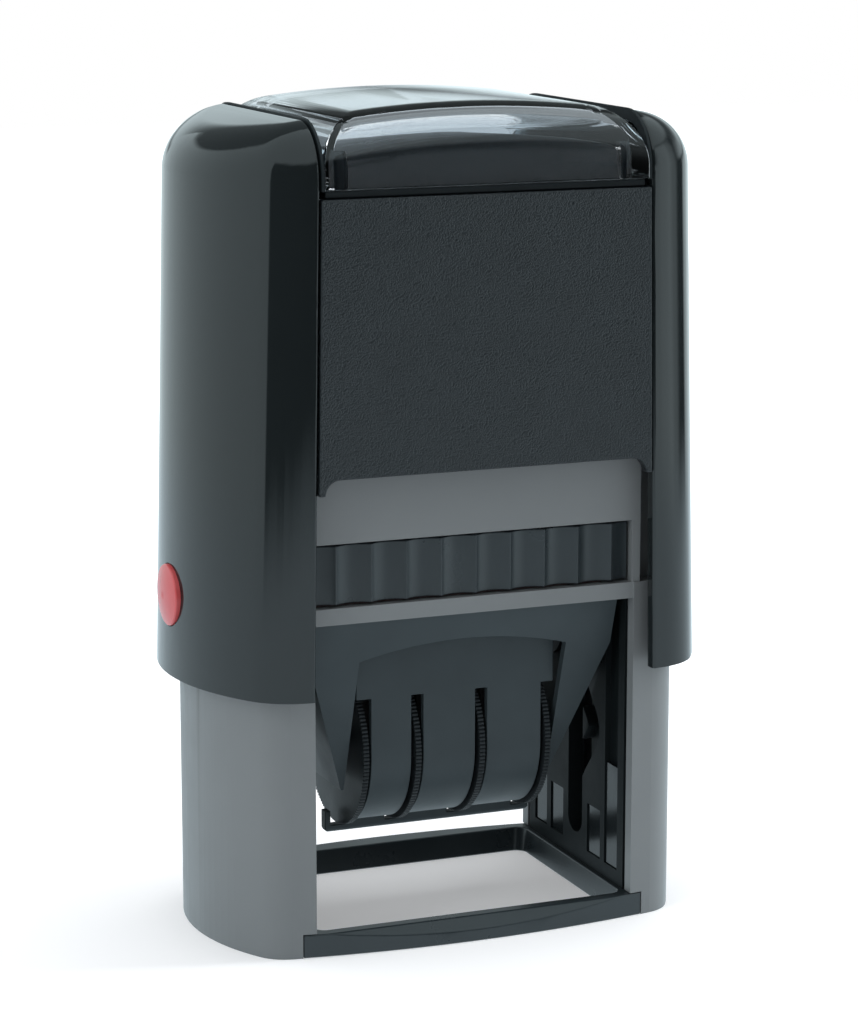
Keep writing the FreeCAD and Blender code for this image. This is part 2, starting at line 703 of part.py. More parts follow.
def foot_frame():
    body = new_body("foot_frame")
    drawing = sketch(body, "XY")
    leg_plan.band(drawing, s.foot_half_width)
    pad(body, drawing, s.foot_height)
    wide, deep = s.foot_hole_width, s.foot_hole_depth
    top = sketch(body, "XY", s.foot_height)
    rounded(top, -wide, -deep, wide, deep, s.foot_corner)
    wide, deep = wide - s.foot_draw_width, deep - s.foot_draw_depth
    low = sketch(body, "XY")
    rounded(low, -wide, -deep, wide, deep, s.foot_corner)
    loft(body, [low, top], "SubtractiveLoft")
    # A slanting facet that runs out where the front curves back
    front = s.leg_half_depth
    drawing = sketch(body, "YZ")
    ends = [
        (-front + s.foot_facet, s.foot_height),
        (-front, s.foot_height - s.foot_facet),
        (-front - s.foot_facet, s.foot_height - s.foot_facet),
        (-front - s.foot_facet, s.foot_height),
    ]
    polygon(drawing, ends)
    pocket(body, drawing, 2 * s.foot_half_width, middle=True)
    return keep("foot_frame", body)


TRACK_STEPS = 36
TRACK_SLACK = 0.01


def track_tool():
    """The curved groove that the turning pin runs in while the cap comes down."""
    half = value_of(s.turn_pin + s.move_gap)
    arm, run = value_of(s.cam_arm), value_of(s.stroke)
    top = value_of(pivot_level)
    path, left, right = [], [], []
    for n in range(TRACK_STEPS + 1):
        turn = math.pi * n / TRACK_STEPS
        y = -arm * math.sin(turn)
        z = top - run * turn / math.pi - arm * math.cos(turn)
        along = Vector(0, -arm * math.cos(turn), arm * math.sin(turn) - run / math.pi).normalize()
        across = Vector(0, -along.z, along.y) * half
        path.append(Vector(0, y, z))
        left.append(path[-1] + across)
        right.append(path[-1] - across)
    # Where the path turns more tightly than the groove is wide, the inner side's loop goes
    nearest = half - TRACK_SLACK
    left = [p for p in left if all(p.distanceToPoint(c) > nearest for c in path)]
    wire = Part.makePolygon(left + right[::-1] + left[:1])
    made = doc.addObject("Part::Feature", "turning_track")
    made.Shape = Part.Face(wire).extrude(Vector(value_of(s.track_depth + s.lap), 0, 0))
    made.Placement = Placement(Vector(value_of(s.span_half - s.lap), 0, 0), Rotation())
    return made


def guide_plates():
    body = new_body("guide_blank")
    drawing = sketch(body, "YZ", s.span_half)
    half = s.plate_half_depth
    rectangle(drawing, -half, s.foot_height, half, s.plate_top)
    pad(body, drawing, s.plate_thick)
    # Straight slot of the pivot pin
    wide = s.pivot_radius + s.move_gap
    drawing = sketch(body, "YZ", s.span_half)
    rounded(drawing, -wide, pressed_pivot - wide, wide, pivot_level + wide, wide - s.fit_gap)
    pocket(body, drawing, s.plate_thick, back=True)
    # Windows, then sunk panels beside them
    for low, high in ((s.pane_low, s.pane_high), (s.pane_upper_low, s.pane_upper_high)):
        drawing = sketch(body, "YZ", s.span_half)
        rectangle(drawing, s.pane_near, low, s.pane_far, high)
        rectangle(drawing, -s.pane_far, low, -s.pane_near, high)
        pocket(body, drawing, s.plate_thick, back=True)
    drawing = sketch(body, "YZ", s.span_half)
    rectangle(drawing, s.rail_near, s.pane_low, s.rail_far, s.pane_upper_high)
    rectangle(drawing, -s.rail_far, s.pane_low, -s.rail_near, s.pane_upper_high)
    pocket(body, drawing, s.rail_sink, back=True)
    right = keep("guide_plate_right", cut("guide_plate", body, track_tool()))
    keep("guide_plate_left", mirrored("guide_plate_mirror", right))


# Ink pad in its cassette

def pad_cassette():
    body = new_body("pad_cassette")
    half = s.cassette_half
    grip_back = s.grip_face - s.grip_thick
    drawing = sketch(body, "XY", s.cassette_low)
    rectangle(drawing, -half, -grip_back, half, s.tray_back)
    pad(body, drawing, s.tray_high - s.cassette_low)
    drawing = sketch(body, "XY", s.cassette_low)
    rectangle(drawing, -half, -s.grip_face, half, -grip_back)
    pad(body, drawing, s.cassette_high - s.cassette_low)
    wide, deep = s.pad_half_width + s.move_gap, s.pad_half_depth + s.move_gap
    drawing = sketch(body, "XY", s.cassette_low)
    rectangle(drawing, -wide, -deep, wide, deep)
    pocket(body, drawing, s.tray_high - s.tray_roof - s.cassette_low, back=True)
    # Concave flutes that meet in ridges
    pitch, sink = s.flute_pitch, s.flute_sink
    radius = (pitch * pitch / 4 + sink * sink) / (2 * sink)
    drawing = sketch(body, "XY", s.cassette_low)
    circle(drawing, (1 - s.flute_count) * pitch / 2, -s.grip_face - radius + sink, radius)
    first = pocket(body, drawing, s.cassette_high - s.cassette_low, back=True)
    rows = body.newObject("PartDesign::LinearPattern", "Flutes")
    rows.Originals = [first]
    rows.Direction = (drawing, ["H_Axis"])
    rows.Length = value_of(pitch * (s.flute_count - 1))
    bind(rows, "Length", pitch * (s.flute_count - 1))
    rows.Occurrences = int(value_of(s.flute_count))
    bind(rows, "Occurrences", s.flute_count)
    body.Tip = rows
    return keep("pad_cassette", body)


def ink_pad():
    wide, deep = s.pad_half_width, s.pad_half_depth
    roof = s.tray_high - s.tray_roof
    return keep("ink_pad", box("ink", (-wide, -deep, s.type_level + s.ink_gap), (wide, deep, roof)))


# Cap: bridge, side shells, panels and window

shell_top = s.crown_top + s.lap


def shell_plan(level):
    """The outside of the cap in plan at one height."""
    share = (level - s.shell_low) / (shell_top - s.shell_low)
    return Plan(
        s.shell_half_width - s.shell_draw * share,
        s.shell_half_depth - s.shell_draw_front * share,
        s.shell_side_arc,
        s.shell_front_arc,
        s.shell_corner,
    )


def crown_cut(body, sink=0):
    """Cut everything above the crown, which is one arc across the cap."""
    radius = s.crown_arc - sink
    level = s.crown_top - sink
    half = s.shell_half_width + s.lap
    drop = radius - root(radius * radius - half * half)
    drawing = sketch(body, "XZ")
    low = level - drop
    turn = math.degrees(math.asin(value_of(half) / value_of(radius)))
    centre = (0, value_of(level - radius))
    curve = drawing.addGeometry(arc(centre, value_of(radius), 90 - turn, 90 + turn), False)
    high = shell_top + s.lap
    corners = [(-half, low), (-half, high), (half, high), (half, low)]
    points = [Vector(value_of(x), value_of(z), 0) for x, z in corners]
    lines = [
        drawing.addGeometry(Part.LineSegment(a, b), False) for a, b in zip(points, points[1:])
    ]
    drawing.addConstraint(Sketcher.Constraint("Coincident", curve, 2, lines[0], 1))
    for before, after in zip(lines, lines[1:]):
        drawing.addConstraint(Sketcher.Constraint("Coincident", before, 2, after, 1))
    drawing.addConstraint(Sketcher.Constraint("Coincident", lines[2], 2, curve, 1))
    hold(drawing, "Radius", curve, None, None, None, radius)
    place(drawing, curve, 3, 0, level - radius)
    hold(drawing, "DistanceX", -1, 1, lines[0], 1, -half)
    place(drawing, lines[0], 2, *corners[1])
    place(drawing, lines[1], 2, *corners[2])
    hold(drawing, "DistanceX", -1, 1, lines[2], 2, half)
    pocket(body, drawing, 2 * (s.shell_half_depth + s.lap), middle=True)


def seam_at(level):
    """Where the inner edge of a side shell is at one height."""
    share = (level - s.shell_low) / (shell_top - s.shell_low)
    return s.seam_low + (s.seam_high - s.seam_low) * share


def is_high(edge):
    return all(v.Z > value_of(s.crown_top - s.roof_round) for v in edge.Vertexes)


def on_seam(edge, beyond):
    """Whether both ends of an edge lie on the flat side of a shell form."""
    return all(near(v.X, seam_at(v.Z) - beyond) for v in edge.Vertexes)


def shell_form(name, inset, beyond):
    """One side of the cap as a solid: bowed plan, leaning sides, crowned and rounded top."""
    body = new_body(name)
    low_level = s.shell_low - inset
    low = sketch(body, "XY", low_level)
    shell_plan(low_level).inside(inset).lobe(low, seam_at(low_level) - beyond, 1)
    high = sketch(body, "XY", shell_top)
    shell_plan(shell_top).inside(inset).lobe(high, s.seam_high - beyond, 1)
    loft(body, [low, high])
    crown_cut(body, inset)
    finish_edges(
        body,
        "Fillet",
        s.roof_round - inset,
        lambda edge: is_high(edge) and not on_seam(edge, beyond),
    )
    return body


def side_shells():
    none = 0 * s.shell_wall
    outside = shell_form("shell_outside", none, none)
    finish_edges(
        outside,
        "Fillet",
        s.shell_edge,
        lambda edge: on_seam(edge, none) and edge.BoundBox.ZLength > value_of(s.panel_tall),
    )
    inside = shell_form("shell_inside", s.shell_wall, s.lap)
    open_shell = cut("shell_open", outside, inside)
    hole = cylinder(
        "button_hole",
        s.button_radius + s.fit_gap,
        s.shell_half_width - s.span_half,
        s.span_half + 2 * s.shell_wall,
        0,
        s.button_level,
    )
    right = keep("side_shell_right", cut("side_shell", open_shell, hole))
    keep("side_shell_left", mirrored("side_shell_mirror", right))


def panels():
    body = new_body("front_panel")
    low = s.panel_low - s.panel_lug
    wide_low = seam_at(low) - s.panel_gap
    wide_high = seam_at(s.panel_high) - s.panel_gap
    drawing = sketch(body, "XZ", s.panel_face)
    corners = [
        (-wide_low, low),
        (wide_low, low),
        (wide_high, s.panel_high),
        (-wide_high, s.panel_high),
    ]
    polygon(drawing, corners)
    pad(body, drawing, s.panel_thick, back=True)
    drawing = sketch(body, "XZ", s.panel_face)
    wide = wide_high - s.move_gap
    rounded(drawing, -wide, low - 2 * s.panel_lug, wide, s.panel_low, s.panel_lug)
    pocket(body, drawing, s.panel_thick)
    keep("front_panel", body)
    rear = mirrored("rear", body)
    rear.Normal = (0, 1, 0)
    keep("rear_panel", rear)


def window_form(name, inset, side_inset, low):
    body = new_body(name)
    wide, deep = s.window_half - side_inset, s.panel_face - inset
    drawing = sketch(body, "XY", low)
    rectangle(drawing, -wide, -deep, wide, deep)
    pad(body, drawing, shell_top - low)
    crown_cut(body, inset)
    finish_edges(
        body,
        "Fillet",
        s.roof_round - inset,
        lambda edge: is_high(edge) and all(near(abs(v.Y), deep) for v in edge.Vertexes),
    )
    return body


def index_window():
    none = 0 * s.window_wall
    outside = window_form("window_outside", none, none, s.window_low)
    low = s.window_low - s.lap
    inside = window_form("window_inside", s.window_wall, s.window_side, low)
    # Clips in the lower corners stay when the inside is cut out
    drawing = sketch(inside, "XY", low)
    wide, deep = s.window_half - s.window_side, s.panel_face - s.window_wall
    for x in (s.clip_wide - wide, wide):
        for y in (s.clip_wide - deep, deep):
            rectangle(drawing, x - s.clip_wide, y - s.clip_wide, x, y)
    pocket(inside, drawing, s.clip_tall + s.lap, back=True)
    return keep("index_window", cut("window", outside, inside))


def cap_bridge():
    body = new_body("cap_bridge")
    deep = s.panel_face - s.panel_thick - s.fit_gap
    wide = s.seam_high - s.fit_gap
    deck_top = s.deck_low + s.deck_thick
    # Deck that fills the cap, and the raised middle under the window
    drawing = sketch(body, "XY", s.deck_low)
    rectangle(drawing, -wide, -deep, wide, deep)
    pad(body, drawing, s.card_level - s.deck_low)
    drawing = sketch(body, "XY", s.deck_low)
    plan = shell_plan(deck_top).inside(s.shell_wall + s.fit_gap)
    both_lobes(drawing, plan, s.span_half - s.lap)
    pad(body, drawing, s.deck_thick)
    # Seat that the window stands on, which shows as a dark line below it
    seat_wide, seat_deep = s.window_half - s.move_gap, s.panel_face - s.seat_back
    drawing = sketch(body, "XY", s.card_level)
    rectangle(drawing, -seat_wide, -seat_deep, seat_wide, seat_deep)
    inner_wide, inner_deep = seat_wide - s.seat_wide, seat_deep - s.seat_wide
    rectangle(drawing, -inner_wide, -inner_deep, inner_wide, inner_deep)
    pad(body, drawing, s.window_rise - s.fit_gap)
    # Corner posts that the panels clip to
    drawing = sketch(body, "XY", s.panel_low)
    for x in (s.post_wide - wide, wide):
        for y in (s.post_deep - deep, deep):
            rectangle(drawing, x - s.post_wide, y - s.post_deep, x, y)
    pad(body, drawing, s.deck_low - s.panel_low)
    # Arms down to the pivot pins
    for level in (s.arm_inner, -s.arm_inner - s.arm_thick):
        drawing = sketch(body, "YZ", level)
        rectangle(drawing, -s.arm_half, pivot_level, s.arm_half, s.deck_low)
        pad(body, drawing, s.arm_thick)
        drawing = sketch(body, "YZ", level)
        circle(drawing, 0, pivot_level, s.arm_half)
        pad(body, drawing, s.arm_thick)
    drawing = sketch(body, "YZ")
    circle(drawing, 0, pivot_level, s.pivot_radius + s.run_gap)
    pocket(body, drawing, 2 * (s.arm_inner + s.arm_thick), middle=True)
    # Peg inside the spring
    drawing = sketch(body, "XY", s.deck_low)
    circle(drawing, 0, 0, s.spring_radius - s.wire_radius - s.move_gap)
    pad(body, drawing, s.peg_length, back=True)
    return keep("cap_bridge", body)


def pivot_pins():
    end = s.arm_inner + s.arm_thick
    length = end - s.pin_inner
    right = cylinder("pin", s.pivot_radius, length, s.pin_inner, 0, pivot_level)
    keep("pivot_pin_right", right)
    keep("pivot_pin_left", mirrored("pivot_pin_mirror", right))


def lock_buttons():
    """A red dome on a short boss that drops into a groove of the leg."""
    body = new_body("lock_button")
    share = (s.button_level - s.shell_low) / (shell_top - s.shell_low)
    face = s.shell_half_width - s.shell_draw * share
    edge = face + s.button_edge
    rise = s.button_proud - s.button_edge
    radius = s.button_radius
    dome = (radius * radius + rise * rise) / (2 * rise)
    level = s.button_level
    drawing = sketch(body, "XZ")
    turn = math.degrees(math.asin(value_of(radius) / value_of(dome)))
    centre = (value_of(edge + rise - dome), value_of(level))
    curve = drawing.addGeometry(arc(centre, value_of(dome), 0, turn), False)
    hold(drawing, "Radius", curve, None, None, None, dome)
    place(drawing, curve, 3, edge + rise - dome, level)
    corners = [
        (edge, level + radius),
        (s.button_back, level + radius),
        (s.button_back, level + s.button_boss),
        (s.button_boss_end, level + s.button_boss),
        (s.button_boss_end, level),
        (edge + rise, level),
    ]
    points = [Vector(value_of(x), value_of(z), 0) for x, z in corners]
    lines = [
        drawing.addGeometry(Part.LineSegment(a, b), False) for a, b in zip(points, points[1:])
    ]
    drawing.addConstraint(Sketcher.Constraint("Coincident", curve, 2, lines[0], 1))
    for before, after in zip(lines, lines[1:]):
        drawing.addConstraint(Sketcher.Constraint("Coincident", before, 2, after, 1))
    drawing.addConstraint(Sketcher.Constraint("Coincident", lines[-1], 2, curve, 1))
    hold(drawing, "DistanceY", -1, 1, lines[0], 1, level + radius)
    for line, (x, z) in zip(lines, corners[1:-1]):
        place(drawing, line, 2, x, z)
    hold(drawing, "DistanceY", -1, 1, lines[-1], 2, level)
    axis = drawing.addGeometry(Part.LineSegment(Vector(0, value_of(level), 0), points[-2]), True)
    place(drawing, axis, 1, 0, level)
    drawing.addConstraint(Sketcher.Constraint("Coincident", axis, 2, lines[-1], 1))
    turned = body.newObject("PartDesign::Revolution", "Revolution")
    turned.Profile = drawing
    turned.ReferenceAxis = (drawing, ["Axis0"])
    body.Tip = turned
    right = keep("lock_button_right", body)
    keep("lock_button_left", mirrored("lock_button_mirror", right))


def spring_path(radius, low, height, turns):
    """The middle of the wire: two arcs that run into each other for every half turn."""
    halves = int(2 * turns)
    climb = height / (2 * math.pi * turns)
    points, tangents = [], []
    for n in range(halves + 1):
        turn = math.pi * n
        x, y = math.cos(turn), math.sin(turn)
        points.append(Vector(radius * x, radius * y, low + climb * turn))
        tangents.append(Vector(-radius * y, radius * x, climb).normalize())
    arcs = []
    for start, end, out, back in zip(points, points[1:], tangents, tangents[1:]):
        gap, both = end - start, out + back
        spare = 2 * (1 - out * back)
        reach = (math.sqrt((gap * both) ** 2 + spare * (gap * gap)) - gap * both) / spare
        middle = (start + end + (out - back) * reach) / 2
        for first, last, corner in (
            (start, middle, start + out * reach),
            (middle, end, end - back * reach),
        ):
            chord = (first + last) / 2
            half, height_over = (last - first).Length / 2, (corner - chord).Length
            bend = math.atan2(height_over, half)
            top = chord + (corner - chord) * (math.tan(bend / 2) / math.tan(bend))
            arcs.append(Part.Arc(first, top, last).toShape())
    return points, Part.Wire(arcs)


def return_spring():
    radius, wire = value_of(s.spring_radius), value_of(s.wire_radius)
    low = value_of(s.well_floor) + wire
    height = value_of(s.deck_low) - wire - low
    turns = value_of(s.spring_turns)
    points, path = spring_path(radius, low, height, turns)
    least = min((a - b).Length for n, a in enumerate(points) for b in points[n + 2 :])
    print(f"return_spring: least gap between turns {least - 2 * wire:.2f} mm")
    line = doc.addObject("Part::Feature", "spring_line")
    line.Shape = path
    ring = doc.addObject("Part::Circle", "spring_wire")
    ring.Radius = wire
    bind(ring, "Radius", s.wire_radius)
    ring.Placement = Placement(Vector(radius, 0, low), Rotation(Vector(1, 0, 0), 90))
    wound = doc.addObject("Part::Sweep", "spring")
    wound.Sections = [ring]
    wound.Spine = (line, [f"Edge{n}" for n in range(1, len(path.Edges) + 1)])
    wound.Solid = True
    return keep("return_spring", wound)


# Type carriage

def frame_depth(level):
    share = (level - s.frame_low) / (s.frame_top - s.frame_low)
    return s.frame_foot_depth + (s.frame_top_depth - s.frame_foot_depth) * share


def frame_section(body, level, half_width, inset=0):
    drawing = sketch(body, "XY", level)
    wide, deep = half_width - inset, frame_depth(level) - inset
    rectangle(drawing, -wide, -deep, wide, deep)
    return drawing


def carriage_frame():
    body = new_body("carriage_frame")
    levels = [
        (s.frame_low, s.frame_foot_width),
        (s.frame_bend, s.frame_half_width),
        (s.frame_top, s.frame_half_width),
    ]
    loft(body, [frame_section(body, level, wide) for level, wide in levels])
    levels[2] = (s.frame_top - s.frame_wall, s.frame_half_width)
    inner = [frame_section(body, level, wide, s.frame_wall) for level, wide in levels]
    loft(body, inner, "SubtractiveLoft")
    # Arched openings in front and behind
    rise = s.arch_top - s.arch_spring
    radius = (s.arch_half * s.arch_half + rise * rise) / (2 * rise)
    turn = math.degrees(math.asin(value_of(s.arch_half) / value_of(radius)))
    centre = (0, value_of(s.arch_top - radius))
    drawing = sketch(body, "XZ")
    curve = drawing.addGeometry(arc(centre, value_of(radius), 90 - turn, 90 + turn), False)
    hold(drawing, "Radius", curve, None, None, None, radius)
    place(drawing, curve, 3, 0, s.arch_top - radius)
    low = s.frame_low - s.lap
    half = s.arch_half
    corners = [(-half, s.arch_spring), (-half, low), (half, low), (half, s.arch_spring)]
    points = [Vector(value_of(x), value_of(z), 0) for x, z in corners]
    lines = [
        drawing.addGeometry(Part.LineSegment(a, b), False) for a, b in zip(points, points[1:])
    ]
    drawing.addConstraint(Sketcher.Constraint("Coincident", curve, 2, lines[0], 1))
    for before, after in zip(lines, lines[1:]):
        drawing.addConstraint(Sketcher.Constraint("Coincident", before, 2, after, 1))
    drawing.addConstraint(Sketcher.Constraint("Coincident", lines[2], 2, curve, 1))
    hold(drawing, "DistanceX", -1, 1, lines[0], 1, -half)
    place(drawing, lines[0], 2, *corners[1])
    place(drawing, lines[1], 2, *corners[2])
    hold(drawing, "DistanceX", -1, 1, lines[2], 2, half)
    pocket(body, drawing, 2 * s.frame_top_depth, middle=True)
    # Window for the bands
    drawing = sketch(body, "XY", s.frame_top)
    wide, deep = s.deck_window_width, s.deck_window_depth
    rectangle(drawing, -wide, -deep, wide, deep)
    pocket(body, drawing, s.frame_wall)
    # Pivot bosses and turning pins
    outer = s.span_half + s.track_depth - s.fit_gap
    for radius, level, far in (
        (s.boss_radius, pivot_level, s.frame_half_width),
        (s.turn_pin, pivot_level - s.cam_arm, outer),
    ):
        for side in (s.boss_inner, -far):
            drawing = sketch(body, "YZ", side)
            circle(drawing, 0, level, radius)
            pad(body, drawing, far - s.boss_inner)
    for radius, level in (
        (s.pivot_radius + s.run_gap, pivot_level),
        (s.axle_radius + s.run_gap, s.axle_level),
    ):
        drawing = sketch(body, "YZ")
        circle(drawing, 0, level, radius)
        pocket(body, drawing, 2 * s.frame_half_width, middle=True)
    return keep("carriage_frame", body)


def hull(drawing, big, small, level, spread, top):
    """A loop round a large circle below and two small ones side by side above it."""
    z_big, z_small = value_of(level), value_of(top)
    y_small = value_of(spread)
    r_big, r_small = value_of(big), value_of(small)
    span = math.hypot(y_small, z_small - z_big)
    lean = math.atan2(z_small - z_big, y_small) - math.acos((r_big - r_small) / span)
    lean = math.degrees(lean)
    parts = [
        ((y_small, z_small), r_small, lean, 90),
        ((-y_small, z_small), r_small, 90, 180 - lean),
        ((0, z_big), r_big, 180 - lean, 360 + lean),
    ]
    edges = [drawing.addGeometry(arc(c, r, a, b), False) for c, r, a, b in parts]
    for edge, radius, y, z in zip(
        edges, (small, small, big), (spread, -spread, 0), (top, top, level)
    ):
        hold(drawing, "Radius", edge, None, None, None, radius)
        place(drawing, edge, 3, y, z)
    for before, after in zip(edges, edges[1:] + edges[:1]):
        start = drawing.Geometry[before].EndPoint
        end = drawing.Geometry[after].StartPoint
        line = drawing.addGeometry(Part.LineSegment(start, end), False)
        drawing.addConstraint(Sketcher.Constraint("Tangent", before, 2, line, 1))
        drawing.addConstraint(Sketcher.Constraint("Tangent", line, 2, after, 1))


bridge_top = s.type_level - s.band_thick - s.bridge_gap


def date_band(name, low, high):
    body = new_body(name)
    small = s.bridge_round + s.bridge_gap
    spread = s.bridge_half - s.bridge_round
    top = bridge_top - s.bridge_round
    drawing = sketch(body, "YZ", low)
    inner = s.hub_radius + s.band_gap
    hull(drawing, inner + s.band_thick, small + s.band_thick, s.axle_level, spread, top)
    hull(drawing, inner, small, s.axle_level, spread, top)
    pad(body, drawing, high - low)
    return keep(name, body)


def print_bridge():
    body = new_body("print_bridge")
    wide = s.text_window_width - s.bridge_side
    half = s.bridge_half
    drawing = sketch(body, "XY", s.bridge_low)
    rectangle(drawing, -wide, -half, wide, half)
    pad(body, drawing, bridge_top - s.bridge_low)
    finish_edges(
        body,
        "Fillet",
        s.bridge_round,
        lambda e: all(near(v.Z, bridge_top) and near(abs(v.Y), half) for v in e.Vertexes)
        and not near(e.Vertexes[0].X, e.Vertexes[1].X),
    )
    drawing = sketch(body, "XY", s.bridge_low)
    reach = s.deck_window_width + s.bridge_tab
    rectangle(drawing, -reach, -half, reach, half)
    pad(body, drawing, s.frame_top - s.frame_wall - s.run_gap - s.bridge_low)
    return keep("print_bridge", body)


def text_pieces():
    for name, low, high in (
        ("text_plate", s.frame_top, s.type_level - s.rubber_thick),
        ("text_rubber", s.type_level - s.rubber_thick, s.type_level),
    ):
        body = new_body(name)
        drawing = sketch(body, "XY", low)
        wide, deep = s.text_half_width, s.text_half_depth
        rectangle(drawing, -wide, -deep, wide, deep)
        wide, deep = s.text_window_width, s.text_window_depth
        rectangle(drawing, -wide, -deep, wide, deep)
        pad(body, drawing, high - low)
        keep(name, body)


def wheel_guard():
    """A round-bottomed channel over the bands, slotted for the four rims."""
    body = new_body("wheel_guard")
    wall, radius = s.guard_wall, s.guard_radius
    top = s.frame_top - s.frame_wall - s.fit_gap
    level = s.axle_level
    drawing = sketch(body, "YZ", -s.guard_half)
    inner = radius - wall
    outside = drawing.addGeometry(
        arc((0, value_of(level)), value_of(radius), 180, 360), False
    )
    inside = drawing.addGeometry(arc((0, value_of(level)), value_of(inner), 180, 360), False)
    lines = []
    for start, end in (
        ((radius, level), (radius, top)),
        ((radius, top), (inner, top)),
        ((inner, top), (inner, level)),
        ((-inner, level), (-inner, top)),
        ((-inner, top), (-radius, top)),
        ((-radius, top), (-radius, level)),
    ):
        points = [Vector(value_of(y), value_of(z), 0) for y, z in (start, end)]
        lines.append(drawing.addGeometry(Part.LineSegment(*points), False))
    loop = [(outside, 2, 1), (lines[0], 2, 1), (lines[1], 2, 1), (lines[2], 2, 1)]
    loop += [(inside, 1, 2), (lines[3], 2, 1), (lines[4], 2, 1), (lines[5], 2, 1)]
    for (edge, last, _), (after, _, first) in zip(loop, loop[1:] + loop[:1]):
        drawing.addConstraint(Sketcher.Constraint("Coincident", edge, last, after, first))
    for edge, size in ((outside, radius), (inside, inner)):
        hold(drawing, "Radius", edge, None, None, None, size)
        place(drawing, edge, 3, 0, level)
        hold(drawing, "DistanceY", -1, 1, edge, 1, level)
        hold(drawing, "DistanceY", -1, 1, edge, 2, level)
    place(drawing, lines[0], 2, radius, top)
    place(drawing, lines[2], 1, inner, top)
    place(drawing, lines[3], 2, -inner, top)
    place(drawing, lines[5], 1, -radius, top)
    pad(body, drawing, 2 * s.guard_half)
    # Keel below the channel, with raised ends
    wide, deep = s.guard_half + s.keel_end, s.keel_half
    foot = level - radius - s.keel_deep
    drawing = sketch(body, "XY", foot)
    rectangle(drawing, -wide, -deep, wide, deep)
    pad(body, drawing, s.keel_deep + wall / 2)
    for side in (s.guard_half, -wide):
        drawing = sketch(body, "YZ", side)
        rectangle(drawing, -deep, foot, deep, level - radius + s.keel_rise)
        pad(body, drawing, s.keel_end)
    # Slots for the rims, the outer ones open to the side
    low, high = level - s.rim_radius - s.move_gap, level + s.rim_slot
    half = s.rim_thick / 2 + s.rim_play
    sides = [
        (-s.guard_half, s.rim_one + half),
        (s.rim_two - half, s.rim_two + half),
        (s.rim_three - half, s.rim_three + half),
        (s.rim_four - half, s.guard_half),
    ]
    for start, end in sides:
        drawing = sketch(body, "YZ", start)
        rectangle(drawing, -radius - s.lap, low, radius + s.lap, high)
        pocket(body, drawing, end - start, back=True)
    finish_edges(
        body,
        "Fillet",
        s.keel_round,
        lambda e: all(near(v.Z, foot) and near(abs(v.X), wide) for v in e.Vertexes),
    )
    return keep("wheel_guard", body)


def setting_wheel(name, rim_at, near_end, far_end):
    """A toothed rim with the hub that carries its band."""
    body = new_body(name)
    drawing = sketch(body, "YZ", rim_at - s.rim_thick / 2)
    circle(drawing, 0, s.axle_level, s.rim_radius)
    pad(body, drawing, s.rim_thick)
    drawing = sketch(body, "YZ", rim_at - s.rim_thick / 2)
    top = s.axle_level + s.rim_radius
    half, over = s.tooth_gap, top + s.run_gap
    polygon(drawing, [(0, top - s.tooth_deep), (half, over), (-half, over)])
    groove = pocket(body, drawing, s.rim_thick, back=True)
    row = body.newObject("PartDesign::PolarPattern", "Teeth")
    row.Originals = [groove]
    centre = sketch(body, "YZ")
    circle(centre, 0, s.axle_level, s.axle_radius)
    axis = body.newObject("PartDesign::Line", "Axis")
    axis.AttachmentSupport = [(centre, "Edge1")]
    axis.MapMode = "AxisOfCurvature"
    row.Axis = (axis, [""])
    row.Angle = 360
    row.Occurrences = int(value_of(s.rim_teeth))
    bind(row, "Occurrences", s.rim_teeth)
    body.Tip = row
    drawing = sketch(body, "YZ", near_end)
    circle(drawing, 0, s.axle_level, s.hub_radius)
    pad(body, drawing, far_end - near_end)
    drawing = sketch(body, "YZ")
    circle(drawing, 0, s.axle_level, s.axle_radius + s.run_gap)
    pocket(body, drawing, 2 * axle_half, middle=True)
    return keep(name, body)


def wheels_and_bands():
    half = s.rim_thick / 2
    far = [s.hub_one_far, s.hub_two_far, s.hub_three_far, s.hub_four_far]
    for n, (rim_at, hub_end) in enumerate(zip(RIMS, far), 1):
        right = value_of(hub_end) > value_of(rim_at)
        low, high = (rim_at, hub_end) if right else (hub_end, rim_at)
        setting_wheel(f"setting_wheel_{n}", rim_at, low, high)
        if right:
            low, high = rim_at + half + s.band_side, hub_end - s.band_side
        else:
            low, high = hub_end + s.band_side, rim_at - half - s.band_side
        date_band(f"date_band_{n}", low, high)
    axle = cylinder("axle", s.axle_radius, 2 * axle_half, -axle_half, 0, s.axle_level)
    keep("wheel_axle", axle)


base_housing()
foot_frame()
guide_plates()
pad_cassette()
ink_pad()
side_shells()
panels()
index_window()
cap_bridge()
pivot_pins()
lock_buttons()
return_spring()
carriage_frame()
text_pieces()
print_bridge()
wheel_guard()
wheels_and_bands()

doc.recompute()
broken = [t.Label for t in doc.Objects if "Invalid" in t.State or "Error" in t.State]
if broken:
    raise ValueError(f"did not recompute: {broken}")
os.makedirs("parts", exist_ok=True)
for name, made in PIECES:
    shape = made.Shape
    if shape.isNull() or not shape.isValid():
        raise ValueError(f"{name} has no valid shape")
    shape.exportStep(f"parts/{name}.step")
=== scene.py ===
"""Looks of a self-inking date and time stamp: finishes, edge work, light and camera."""

import logging
import math
from dataclasses import dataclass
from enum import Enum

